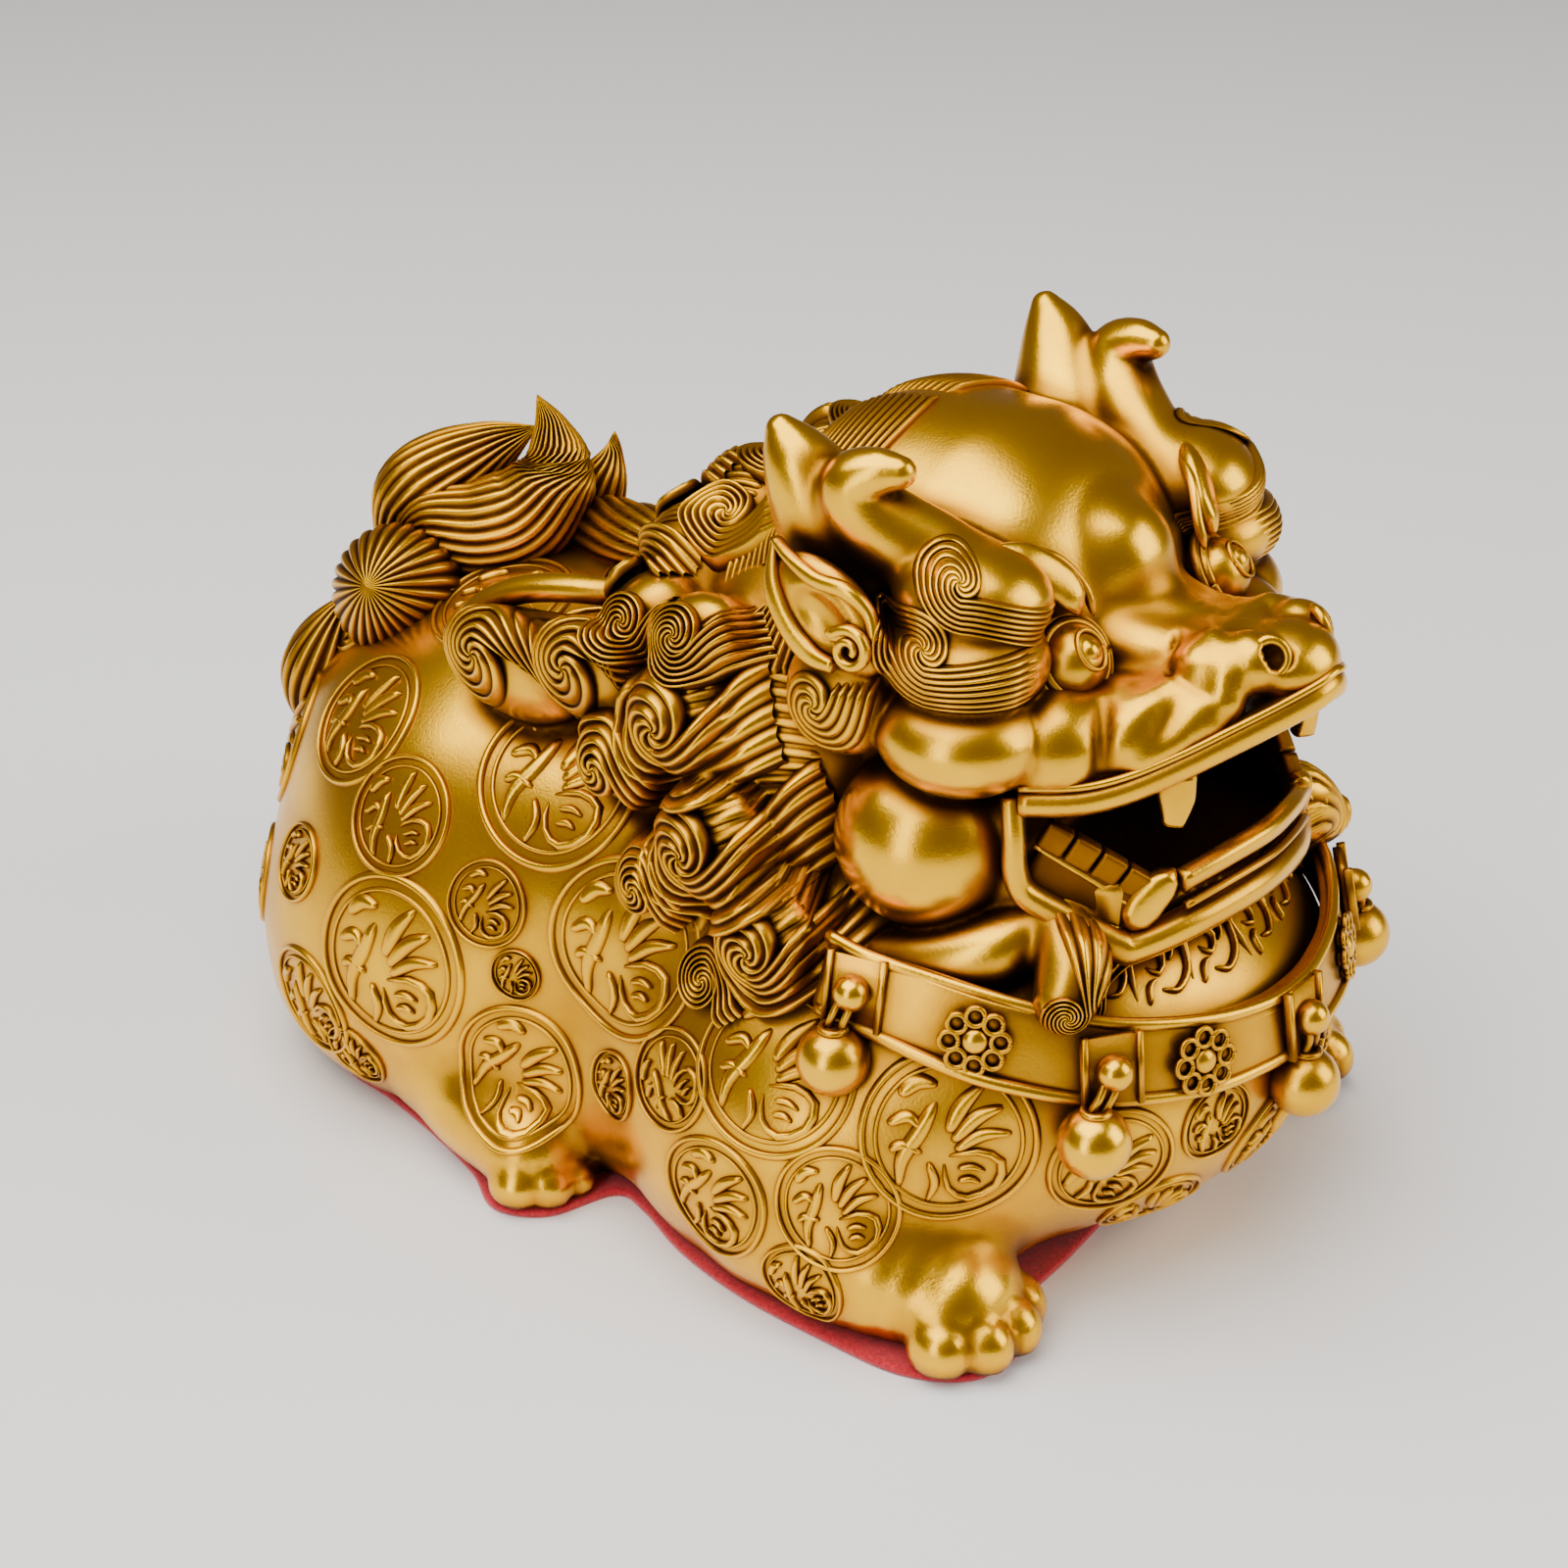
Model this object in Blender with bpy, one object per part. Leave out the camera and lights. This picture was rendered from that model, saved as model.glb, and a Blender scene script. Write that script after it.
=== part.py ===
"""Crouching pixiu figure, cast in brass, on a red felt pad.

The beast looks along -Y, its left side is +X and Z is up. The origin is the middle of the underside.
Forms are given in millimetres as (x, y, z), measured from a sculptor's point below the back, and
`place` moves them into the part's frame, in metres.
"""

import math

import bmesh
import bpy
from mathutils import Euler, Matrix, Vector

mm = 0.001
back_shift = 22.8  # from the sculptor's point to the middle of the underside, along +Y
felt_thickness = 1.5
felt_gap = 0.3
cast_bottom = felt_thickness + felt_gap
fuse_voxel = 1.1
teeth_voxel = 0.9
even_voxel = 1.0
figure_triangles = 8600
sphere_steps = 28

jaw_bottom = 66.0
jaw_back = -84.0
jaw_back_half_width = 36.5
jaw_front_half_width = 25.5
jaw_front = -107.0
chin_lift = 2.5

mouth_back_half_width = 28.0
mouth_front_half_width = 24.0
mouth_floor = 74.0
mouth_back_roof = 87.0
mouth_front_roof = 109.0
mouth_back = -82.0
mouth_front = -147.0
mouth_edge = 4.0

bell_radius = 6.3
bell_neck = 4.0


def place(point):
    """A sculptor's point, in millimetres, as a point of the part's frame, in metres."""
    x, y, z = point
    return Vector((x * mm, (y + back_shift) * mm, z * mm))


def mirrored(point):
    """The same point on the other side of the beast."""
    return (-point[0], point[1], point[2])


def clear_scene():
    for obj in list(bpy.data.objects):
        bpy.data.objects.remove(obj, do_unlink=True)


def make_material(name, colour, metallic, roughness):
    material = bpy.data.materials.new(name)
    material.use_nodes = True
    shader = material.node_tree.nodes["Principled BSDF"]
    shader.inputs["Base Color"].default_value = (*colour, 1.0)
    shader.inputs["Metallic"].default_value = metallic
    shader.inputs["Roughness"].default_value = roughness
    return material


def add_ellipsoid(mesh, centre, radii, tilt=(0, 0, 0)):
    """An egg form: a sphere stretched to three radii and tilted, in degrees."""
    turn = Euler([math.radians(angle) for angle in tilt]).to_matrix().to_4x4()
    stretch = Matrix.Diagonal((*[radius * mm for radius in radii], 1.0))
    where = Matrix.Translation(place(centre)) @ turn @ stretch
    bmesh.ops.create_uvsphere(
        mesh, u_segments=sphere_steps, v_segments=sphere_steps // 2, radius=1.0, matrix=where
    )


def add_ellipsoid_pair(mesh, centre, radii, tilt=(0, 0, 0)):
    """The same egg form on the right (-X) and on the left."""
    add_ellipsoid(mesh, centre, radii, tilt)
    add_ellipsoid(mesh, mirrored(centre), radii, (tilt[0], -tilt[1], -tilt[2]))


def add_taper(mesh, stations):
    """A limb, horn or lock: a round tube along a smooth line of (x, y, z, radius) stations."""
    curve = bpy.data.curves.new("taper_line", "CURVE")
    curve.dimensions = "3D"
    curve.bevel_depth = mm
    curve.bevel_resolution = 4
    curve.resolution_u = 6
    curve.use_fill_caps = True
    line = curve.splines.new("BEZIER")
    line.bezier_points.add(len(stations) - 1)
    for point, (x, y, z, radius) in zip(line.bezier_points, stations):
        point.co = place((x, y, z))
        point.radius = radius
        point.handle_left_type = point.handle_right_type = "AUTO"
    holder = bpy.data.objects.new("taper", curve)
    bpy.context.scene.collection.objects.link(holder)
    bpy.context.view_layer.update()
    shape = bpy.data.meshes.new_from_object(holder.evaluated_get(bpy.context.evaluated_depsgraph_get()))
    mesh.from_mesh(shape)
    bpy.data.objects.remove(holder)
    bpy.data.curves.remove(curve)
    bpy.data.meshes.remove(shape)


def add_taper_pair(mesh, stations):
    add_taper(mesh, stations)
    add_taper(mesh, [(-x, y, z, radius) for x, y, z, radius in stations])


def object_from(mesh, name):
    data = bpy.data.meshes.new(name)
    mesh.to_mesh(data)
    mesh.free()
    obj = bpy.data.objects.new(name, data)
    bpy.context.scene.collection.objects.link(obj)
    return obj


def add_body(mesh):
    """Rump, belly and chest, with the haunches and shoulders on their sides."""
    add_ellipsoid(mesh, (0, 23, 45), (61, 62.8, 47))
    add_ellipsoid(mesh, (0, -22, 45), (57, 60, 46))
    add_ellipsoid(mesh, (0, -74, 37), (54, 48, 36.5))
    add_ellipsoid(mesh, (0, -75, 9), (36, 23, 12))
    add_ellipsoid_pair(mesh, (-38, 20, 30), (29, 42, 33), (0, 0, 6))
    add_ellipsoid_pair(mesh, (-33, 39, 25), (28, 34.5, 28.5))
    add_ellipsoid_pair(mesh, (-34, 36, 13), (26, 34, 16))
    add_ellipsoid_pair(mesh, (-32, -8, 20), (29, 32, 26))
    add_ellipsoid_pair(mesh, (-37, -54, 24), (30, 43, 35))
    add_taper_pair(mesh, [(-53, -60, 14, 14), (-53.5, -76, 12, 13.2), (-51, -92, 9, 10)])
    add_taper_pair(mesh, [(-52, 16, 12, 12), (-56, 4, 11, 12), (-60, -8, 9, 9.5)])


def add_toes(mesh, ankle, reach, size, fan):
    """A row of rounded toes that fans round the front of a paw, by the angles in `fan`."""
    for degrees in fan:
        turn = math.radians(degrees)
        x = ankle[0] + reach[0] * math.sin(turn)
        y = ankle[1] - reach[1] * math.cos(turn)
        add_ellipsoid_pair(mesh, (x, y, size * 1.1), (size, size * 1.2, size * 1.15))


def add_paws(mesh):
    """Four paws with four toes each."""
    add_ellipsoid_pair(mesh, (-50.5, -93, 8.5), (12, 9.5, 8.5))
    add_toes(mesh, (-50.5, -92), (10.6, 9.5), 5.0, (-66, -26, 12, 48))
    add_ellipsoid_pair(mesh, (-60, -8, 8), (9.5, 9, 7.5))
    add_toes(mesh, (-60, -8), (8, 7.5), 4.4, (-70, -30, 10, 48))


def add_head(mesh):
    """Cranium, brow, muzzle and cheeks round the place of the mouth."""
    add_ellipsoid(mesh, (0, -61, 107), (35, 31, 33))
    add_ellipsoid(mesh, (0, -47.5, 116), (33, 20, 23))
    add_ellipsoid(mesh, (0, -52, 92), (38, 30, 30))
    add_ellipsoid(mesh, (0, -70, 92), (36, 28, 26))
    add_ellipsoid(mesh, (0, -83, 119.5), (11, 10.5, 11))
    add_taper(mesh, [(0, -86, 106, 12), (0, -99, 105, 11.5), (0, -110, 107.5, 9), (0, -118.5, 110.5, 6)])
    add_ellipsoid_pair(mesh, (-26, -90, 100), (11, 11, 9.5), (0, 0, 35))
    add_ellipsoid_pair(mesh, (-17.5, -99, 101), (10.5, 9.5, 8.5), (0, 0, 40))
    add_ellipsoid_pair(mesh, (-11, -106.5, 104.5), (9.5, 8.5, 7), (0, 0, 40))
    add_ellipsoid(mesh, (0, -117, 111.5), (9, 7, 6))
    add_ellipsoid_pair(mesh, (-9.5, -108, 110.5), (6.4, 6.4, 6))
    add_ellipsoid_pair(mesh, (-7.5, -114, 113), (5.2, 5.7, 5.2))
    add_ellipsoid_pair(mesh, (-21.4, -90.6, 111.6), (7.4, 7.4, 7.4))
    add_ellipsoid_pair(mesh, (-31.5, -78.5, 122.5), (11.5, 13, 9), (0, 0, 30))
    add_ellipsoid_pair(mesh, (-34, -79.5, 113.5), (13, 13.5, 9), (0, 0, 30))
    add_ellipsoid_pair(mesh, (-35, -80, 101.5), (14, 14.5, 10))
    add_ellipsoid_pair(mesh, (-34, -73, 80.5), (15.5, 15.5, 15.5))
    crescent = [(-33, -93, 71, 3.6), (-36.5, -88, 66, 6.8), (-40, -80, 62.5, 7), (-43, -72, 62, 4)]
    add_taper_pair(mesh, crescent)
    upper_lip = [
        (-35.4, -90.8, 92.6, 2.8), (-30.5, -98.4, 93.2, 2.8), (-25.8, -104, 95, 2.8),
        (-20.4, -109.8, 98.4, 2.8), (-14.8, -115, 102, 2.8), (-9, -119.8, 105.4, 2.8),
        (-3.5, -123.2, 108, 2.8), (0, -124, 109, 2.8),
    ]
    add_taper_pair(mesh, upper_lip)


def add_jaw(mesh):
    """Throat and lower jaw: a boxy chin with a raised rim, below the mouth, and the beard under it."""
    add_ellipsoid(mesh, (0, -72, 58), (40, 36, 22))
    add_ellipsoid(mesh, (0, -90, 69), (27, 18, 9))
    chin = bmesh.ops.create_cube(mesh, size=1.0)["verts"]
    for vert in chin:
        front = vert.co.y < 0
        width = jaw_front_half_width if front else jaw_back_half_width
        floor = jaw_bottom + chin_lift if front else jaw_bottom
        height = mouth_floor if vert.co.z > 0 else floor
        vert.co = place((math.copysign(width, vert.co.x), jaw_front if front else jaw_back, height))
    jaw_rim = [
        (-35, -89.4, 93, 2.6), (-36, -90.8, 87, 2.8), (-36, -91, 81, 3), (-35, -92.2, 77.6, 3.2),
        (-32.6, -95.8, 74.8, 3.2), (-29.6, -100.8, 71.6, 3.2), (-27.2, -105, 68.8, 3.2),
        (-25, -106.8, 68.2, 3.2), (-14, -112, 70.4, 3.2), (0, -114.4, 71.6, 3.2),
    ]
    add_taper_pair(mesh, jaw_rim)
    add_taper_pair(mesh, [(-30, -96, 72, 5), (-33.5, -101, 67, 6.4), (-38, -102.5, 62.5, 5.4)])


def add_horns_and_ears(mesh):
    """Two upright horns behind, two curled horns before them, and a leaf ear on each side."""
    rear_horn = [(-29, -56, 122, 10.5), (-33, -52, 130, 8.8), (-35.5, -48.5, 138, 6), (-36.5, -45.3, 144, 2.6)]
    add_taper_pair(mesh, rear_horn)
    curled_horn = [
        (-25, -79, 120, 7), (-30, -70.5, 126.5, 7), (-35, -62.5, 132.5, 6.4), (-37, -60, 138.4, 5.6),
        (-36.8, -63.5, 142.3, 4.4), (-36, -67.6, 142.9, 2.9),
    ]
    add_taper_pair(mesh, curled_horn)
    add_ellipsoid_pair(mesh, (-44.8, -60, 119.5), (4.4, 13, 8), (32, 0, 0))
    add_ellipsoid_pair(mesh, (-47.5, -67.6, 116.4), (3.6, 4.6, 4.6))
    add_ellipsoid_pair(mesh, (-41.5, -61.5, 105), (7.6, 10.6, 10.6))


def add_mane(mesh):
    """The mane: a full collar of hair behind the jaw that ends in rows of curls."""
    add_ellipsoid(mesh, (0, -42, 87), (46.5, 36.5, 42.5))
    flank_curls = [
        (-46, -33, 95, 10), (-49, -42, 77, 11), (-50, -54, 63, 10), (-46, -22, 84, 10),
        (-49, -32, 66, 9), (-48, -44, 55, 8),
    ]
    for x, y, z, radius in flank_curls:
        add_ellipsoid_pair(mesh, (x, y, z), (7.5, radius, radius))
    back_curls = [
        (-36, -20, 104, 9), (-41, -34, 106, 9), (-22, -18, 111, 10.5), (-12, -22, 116, 9.5), (-8, -8, 104, 9.5),
    ]
    for x, y, z, radius in back_curls:
        add_ellipsoid_pair(mesh, (x, y, z), (radius, radius, radius * 0.9))


def add_wings(mesh):
    """A small scroll wing on each flank, its top edge standing proud of the back."""
    add_ellipsoid_pair(mesh, (-42, 7, 90), (8, 14, 13), (0, -28, 0))
    add_ellipsoid_pair(mesh, (-43, -13, 94.5), (8, 13, 12), (0, -28, 0))
    top_edge = [
        (-30, -24, 107, 1.6), (-36, -10, 106, 2.5), (-38.5, 0, 105, 2.7), (-40, 9, 102.5, 2.7),
        (-42, 16, 98, 2.2), (-44, 20.5, 92, 1.4),
    ]
    add_taper_pair(mesh, top_edge)


def add_tail(mesh):
    """A bushy tail that lies forward over the rump in pointed tufts."""
    add_ellipsoid(mesh, (-1, 55, 82), (15.5, 16.5, 15))
    add_ellipsoid(mesh, (-25, 53, 85), (12.6, 12.6, 12.6))
    add_ellipsoid(mesh, (-26, 70, 66), (9, 9, 14.5), (16, 0, 0))
    add_ellipsoid(mesh, (23.8, 54, 83.5), (12.4, 12.4, 12.4))
    add_ellipsoid(mesh, (25.5, 70, 66), (8.5, 8.5, 12.7), (18, 0, 0))
    flame = [
        (-18, 59, 90, 3), (-13.5, 55, 92.5, 7.8), (-8, 45.5, 93, 10), (-3, 38.5, 97, 10), (0, 35.2, 105, 7.6),
        (0.6, 36.6, 112.5, 3.8), (0, 39.2, 118.5, 0.8),
    ]
    add_taper(mesh, flame)
    second_tuft = [(-13, 65, 86, 4), (-9, 61.5, 94.5, 9.8), (-4, 57, 100, 9.4), (2, 51.6, 105, 5.4), (7, 46, 108.6, 1)]
    add_taper(mesh, second_tuft)
    add_taper(mesh, [(5, 39, 84, 5), (8.5, 36, 92, 6), (11.6, 34.2, 99.5, 5), (13.5, 33, 106.5, 1.8)])
    add_taper(mesh, [(10, 40, 84, 5), (6, 31, 91, 7.4), (2, 20, 95, 7), (0, 9, 98, 5.4), (0, -1, 100, 1.4)])


def add_collar(mesh):
    """The collar band, its bells on short straps, and a rosette between each two."""
    top = [
        (-50, -66, 67), (-50, -74, 66), (-46.5, -84, 64), (-41.5, -96, 61.5), (-33.5, -107.5, 58.5),
        (-21, -116, 56), (-9, -120, 54.3), (0, -121, 54),
    ]
    bottom = [
        (-53, -66, 55), (-53, -74, 54.5), (-51, -88, 52), (-46.5, -98, 49.5), (-37, -109, 46.5),
        (-23, -118.3, 44.8), (-10, -122.2, 44.2), (0, -123, 44),
    ]
    for share in (0.1, 0.5, 0.9):
        band = [Vector(high).lerp(Vector(low), share) for high, low in zip(top, bottom)]
        add_taper_pair(mesh, [(*point, 2.8) for point in band])
    side_bells = [((-52.5, -73, 60.5), (-57.5, -72, 49.5)), ((-36.5, -110.5, 52.5), (-41.5, -111.5, 41.5))]
    for stud, bell in side_bells:
        add_ellipsoid_pair(mesh, stud, (5.5, 5.5, 6))
        add_ellipsoid_pair(mesh, bell, (bell_radius, bell_radius, bell_radius))
        add_taper_pair(mesh, [(*stud, 3), (bell[0], bell[1], bell[2] + bell_neck, 2.2)])
    add_ellipsoid(mesh, (0, -123.5, 49.5), (5.5, 4, 6))
    add_ellipsoid(mesh, (0, -125.5, 37.5), (bell_radius, bell_radius, bell_radius))
    add_taper(mesh, [(0, -124.5, 50, 3), (0, -125.5, 37.5 + bell_neck, 2.2)])
    add_ellipsoid_pair(mesh, (-48.3, -92.5, 56.8), (4.5, 5.5, 6))
    add_ellipsoid_pair(mesh, (-22.3, -118.4, 50.3), (6, 3.6, 6))


def make_mouth_cutter():
    """The hollow of the mouth, a rounded block that narrows towards the nose."""
    mesh = bmesh.new()
    bmesh.ops.create_cube(mesh, size=1.0)
    for vert in mesh.verts:
        front = vert.co.y < 0
        width = mouth_front_half_width if front else mouth_back_half_width
        roof = mouth_front_roof if front else mouth_back_roof
        x = math.copysign(width, vert.co.x)
        vert.co = place((x, mouth_front if front else mouth_back, roof if vert.co.z > 0 else mouth_floor))
    bmesh.ops.recalc_face_normals(mesh, faces=mesh.faces)
    cutter = object_from(mesh, "mouth_hollow")
    soften = cutter.modifiers.new("round_edges", "BEVEL")
    soften.width = mouth_edge * mm
    soften.segments = 3
    cutter.display_type = "WIRE"
    cutter.hide_render = True
    return cutter


def make_teeth():
    """Upper and lower fangs, the standing lower lip and the side teeth, joined on after the mouth is cut."""
    mesh = bmesh.new()
    add_taper_pair(mesh, [(-19.4, -108.6, 98, 3.6), (-19.4, -109.4, 92, 3), (-19.4, -109.4, 87.6, 1.3)])
    add_taper_pair(mesh, [(-23, -106, 69, 3.4), (-22.5, -107, 75, 3.2), (-21.5, -107.6, 79.5, 1.6)])
    add_taper_pair(mesh, [(-21, -107.5, 73.6, 2.4), (-11, -111.6, 74.8, 2.4), (0, -113.6, 75.4, 2.4)])
    add_taper_pair(mesh, [(-31, -89.5, 79.5, 2.8), (-27, -98, 76, 2.8), (-22.5, -105, 72.8, 2.8)])
    teeth = object_from(mesh, "teeth")
    fuse = teeth.modifiers.new("fuse", "REMESH")
    fuse.mode = "VOXEL"
    fuse.voxel_size = teeth_voxel * mm
    teeth.display_type = "WIRE"
    teeth.hide_render = True
    return teeth


def make_ground_cutter():
    """Everything below the flat underside of the casting."""
    mesh = bmesh.new()
    bmesh.ops.create_cube(mesh, size=1.0)
    for vert in mesh.verts:
        vert.co = Vector((vert.co.x * 0.4, vert.co.y * 0.4, cast_bottom * mm - 0.1 * (0.5 - vert.co.z)))
    cutter = object_from(mesh, "below_the_casting")
    cutter.display_type = "WIRE"
    cutter.hide_render = True
    return cutter


def add_boolean(obj, name, other, operation):
    step = obj.modifiers.new(name, "BOOLEAN")
    step.object = other
    step.operation = operation
    step.solver = "EXACT"


def make_figure(material):
    """The whole casting: every form fused into one skin, hollowed at the mouth and cut flat below."""
    mesh = bmesh.new()
    for add_forms in (
        add_body, add_paws, add_head, add_jaw, add_horns_and_ears, add_mane, add_wings, add_tail, add_collar,
    ):
        add_forms(mesh)
    figure = object_from(mesh, "pixiu_figure")
    figure.data.materials.append(material)
    fuse = figure.modifiers.new("fuse", "REMESH")
    fuse.mode = "VOXEL"
    fuse.voxel_size = fuse_voxel * mm
    fuse.use_smooth_shade = True
    soften = figure.modifiers.new("soften", "SMOOTH")
    soften.factor = 0.5
    soften.iterations = 4
    add_boolean(figure, "mouth", make_mouth_cutter(), "DIFFERENCE")
    add_boolean(figure, "teeth", make_teeth(), "UNION")
    add_boolean(figure, "flat_underside", make_ground_cutter(), "DIFFERENCE")
    even = figure.modifiers.new("even_out", "REMESH")
    even.mode = "VOXEL"
    even.voxel_size = even_voxel * mm
    bpy.context.view_layer.update()
    counted = figure.evaluated_get(bpy.context.evaluated_depsgraph_get()).to_mesh()
    counted.calc_loop_triangles()
    thin = figure.modifiers.new("thin", "DECIMATE")
    thin.ratio = figure_triangles / len(counted.loop_triangles)
    thin.use_collapse_triangulate = True
    return figure


def make_felt_pad(material):
    """The felt glued under the casting: its footprint as one smooth outline, with a lobe at each paw."""
    right_side = [
        (0, 46), (-20, 56), (-33, 61), (-46, 55), (-54, 44), (-56.5, 30), (-60.5, 15), (-65, 2), (-70.5, -8),
        (-66.5, -17), (-54.5, -22), (-55, -29), (-60.5, -42), (-64, -58), (-65, -76), (-64.5, -91),
        (-59, -101), (-50, -103.5), (-42, -100), (-35, -96), (-20, -95), (0, -93),
    ]
    outline = right_side + [(-x, y) for x, y in reversed(right_side[1:-1])]
    curve = bpy.data.curves.new("felt_outline", "CURVE")
    curve.dimensions = "2D"
    curve.fill_mode = "BOTH"
    curve.resolution_u = 4
    curve.extrude = felt_thickness * mm / 2
    line = curve.splines.new("BEZIER")
    line.bezier_points.add(len(outline) - 1)
    line.use_cyclic_u = True
    for point, (x, y) in zip(line.bezier_points, outline):
        point.co = place((x, y, 0))
        point.handle_left_type = point.handle_right_type = "AUTO"
    pad = bpy.data.objects.new("felt_pad", curve)
    pad.location.z = felt_thickness * mm / 2
    bpy.context.scene.collection.objects.link(pad)
    curve.materials.append(material)
    return pad


def main():
    clear_scene()
    brass = make_material("antique_brass", (0.62, 0.40, 0.09), 1.0, 0.34)
    felt = make_material("red_felt", (0.45, 0.01, 0.02), 0.0, 0.95)
    figure = make_figure(brass)
    figure.data.shade_smooth()
    make_felt_pad(felt)


main()
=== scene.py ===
import math

import bpy
import numpy as np
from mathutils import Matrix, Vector


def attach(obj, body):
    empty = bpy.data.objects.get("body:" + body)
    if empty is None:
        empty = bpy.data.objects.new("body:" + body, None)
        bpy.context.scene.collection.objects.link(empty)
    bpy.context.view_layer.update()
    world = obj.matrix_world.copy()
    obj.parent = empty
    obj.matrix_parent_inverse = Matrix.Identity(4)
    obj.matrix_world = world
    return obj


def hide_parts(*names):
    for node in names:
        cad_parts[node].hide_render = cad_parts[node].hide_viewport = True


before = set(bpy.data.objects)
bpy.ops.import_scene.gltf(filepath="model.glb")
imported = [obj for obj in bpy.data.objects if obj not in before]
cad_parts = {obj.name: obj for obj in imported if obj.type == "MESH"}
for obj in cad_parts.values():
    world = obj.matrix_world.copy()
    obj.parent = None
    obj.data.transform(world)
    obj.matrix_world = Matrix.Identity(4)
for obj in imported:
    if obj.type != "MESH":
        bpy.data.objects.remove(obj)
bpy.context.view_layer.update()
backShift = 22.8  # mm from the sculptor's point to the middle of the underside

# Forms are given in mm from a sculptor's point below the back, with the beast looking along -Y and its
# right side on -X. toFrame moves them to the part's frame, in metres.


def toFrame(points):
    # every point moved back and turned to metres
    return (np.asarray(points, float) + (0, backShift, 0)) * 0.001


# distance to a form, as whole arrays

def eggDistance(x, y, z, form):
    # an ellipsoid: length of the point over the radii, times how far it is from one, over the slope
    dx, dy, dz = x - form["at"][0], y - form["at"][1], z - form["at"][2]
    if "turn" in form:
        m = turnMatrix(form["turn"])
        dx, dy, dz = (m[0, i] * dx + m[1, i] * dy + m[2, i] * dz for i in range(3))
    a, b, c = form["size"]
    k0 = np.sqrt((dx / a) ** 2 + (dy / b) ** 2 + (dz / c) ** 2)
    k1 = np.sqrt((dx / a**2) ** 2 + (dy / b**2) ** 2 + (dz / c**2) ** 2) + 1e-9
    return k0 * (k0 - 1) / k1


def taperDistance(x, y, z, form):
    # a limb: distance to each straight stretch of a smooth line, less the radius there, and the least of them
    line = smoothLine(form["line"], form.get("steps", 4))
    best = None
    for a, b in zip(line[:-1], line[1:]):
        ab = b[:3] - a[:3]
        t = ((x - a[0]) * ab[0] + (y - a[1]) * ab[1] + (z - a[2]) * ab[2]) / (ab @ ab + 1e-9)
        t = np.clip(t, 0, 1)
        d = np.sqrt((x - a[0] - t * ab[0]) ** 2 + (y - a[1] - t * ab[1]) ** 2 + (z - a[2] - t * ab[2]) ** 2)
        d = d - (a[3] + t * (b[3] - a[3]))
        best = d if best is None else np.minimum(best, d)
    return best


def blockDistance(x, y, z, form):
    # a block with slanting sides: the greatest distance past any of its planes, softened where two meet
    worst = None
    for plane in form["planes"]:
        nx, ny, nz, reach = plane
        size = math.sqrt(nx * nx + ny * ny + nz * nz)
        d = (nx * x + ny * y + nz * z - reach) / size
        worst = d if worst is None else smoothMax(worst, d, form.get("round", 2))
    return worst


def smoothMin(a, b, k):
    # the lesser of two distances, with a fillet where they are within k of each other
    if k <= 0:
        return np.minimum(a, b)
    h = np.maximum(k - np.abs(a - b), 0) / k
    return np.minimum(a, b) - h * h * k * 0.25


def smoothMax(a, b, k):
    return -smoothMin(-a, -b, k)


def turnMatrix(degrees):
    # turns about X, then Y, then Z
    ax, ay, az = np.radians(degrees)
    rx = np.array([[1, 0, 0], [0, np.cos(ax), -np.sin(ax)], [0, np.sin(ax), np.cos(ax)]])
    ry = np.array([[np.cos(ay), 0, np.sin(ay)], [0, 1, 0], [-np.sin(ay), 0, np.cos(ay)]])
    rz = np.array([[np.cos(az), -np.sin(az), 0], [np.sin(az), np.cos(az), 0], [0, 0, 1]])
    return rz @ ry @ rx


def smoothLine(points, steps):
    # a Catmull-Rom curve through the points: each stretch is a cubic that leaves along its neighbours' chord
    p = np.asarray(points, float)
    if len(p) < 3 or steps < 2:
        return p
    ends = np.vstack([2 * p[0] - p[1], p, 2 * p[-1] - p[-2]])
    t = np.linspace(0, 1, steps, endpoint=False)[None, :, None]
    a, b, c, d = ends[:-3, None], ends[1:-2, None], ends[2:-1, None], ends[3:, None]
    curve = 0.5 * (2 * b + (c - a) * t + (2 * a - 5 * b + 4 * c - d) * t**2 + (3 * b - a - 3 * c + d) * t**3)
    return np.vstack([curve.reshape(-1, p.shape[1]), p[-1:]])


distanceTo = {"egg": eggDistance, "taper": taperDistance, "block": blockDistance}


def formBox(form):
    # how far a form reaches, in mm, with its fillet
    if form["kind"] == "egg":
        reach = max(form["size"]) if "turn" in form else np.array(form["size"])
        low, high = np.array(form["at"]) - reach, np.array(form["at"]) + reach
    elif form["kind"] == "taper":
        line = np.asarray(form["line"], float)
        low, high = (line[:, :3] - line[:, 3:]).min(0) - 1, (line[:, :3] + line[:, 3:]).max(0) + 1
    else:
        low, high = np.array(form["box"][0], float), np.array(form["box"][1], float)
    margin = form.get("blend", 2) + 6
    return low - margin, high + margin


def joinForm(d, v, form):
    if form.get("cut"):
        return smoothMax(d, -v, form.get("blend", 1))
    return smoothMin(d, v, form.get("blend", 2))


def pointField(points, forms):
    # distance from loose points to all the forms together; the left side is the right side's mirror image
    x, y, z = -np.abs(points[:, 0]), points[:, 1], points[:, 2]
    d = np.full(len(points), 40.0)
    for form in forms:
        low, high = formBox(form)
        near = (x > low[0]) & (x < high[0]) & (y > low[1]) & (y < high[1]) & (z > low[2]) & (z < high[2])
        if near.any():
            d[near] = joinForm(d[near], distanceTo[form["kind"]](x[near], y[near], z[near], form), form)
    return d


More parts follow.
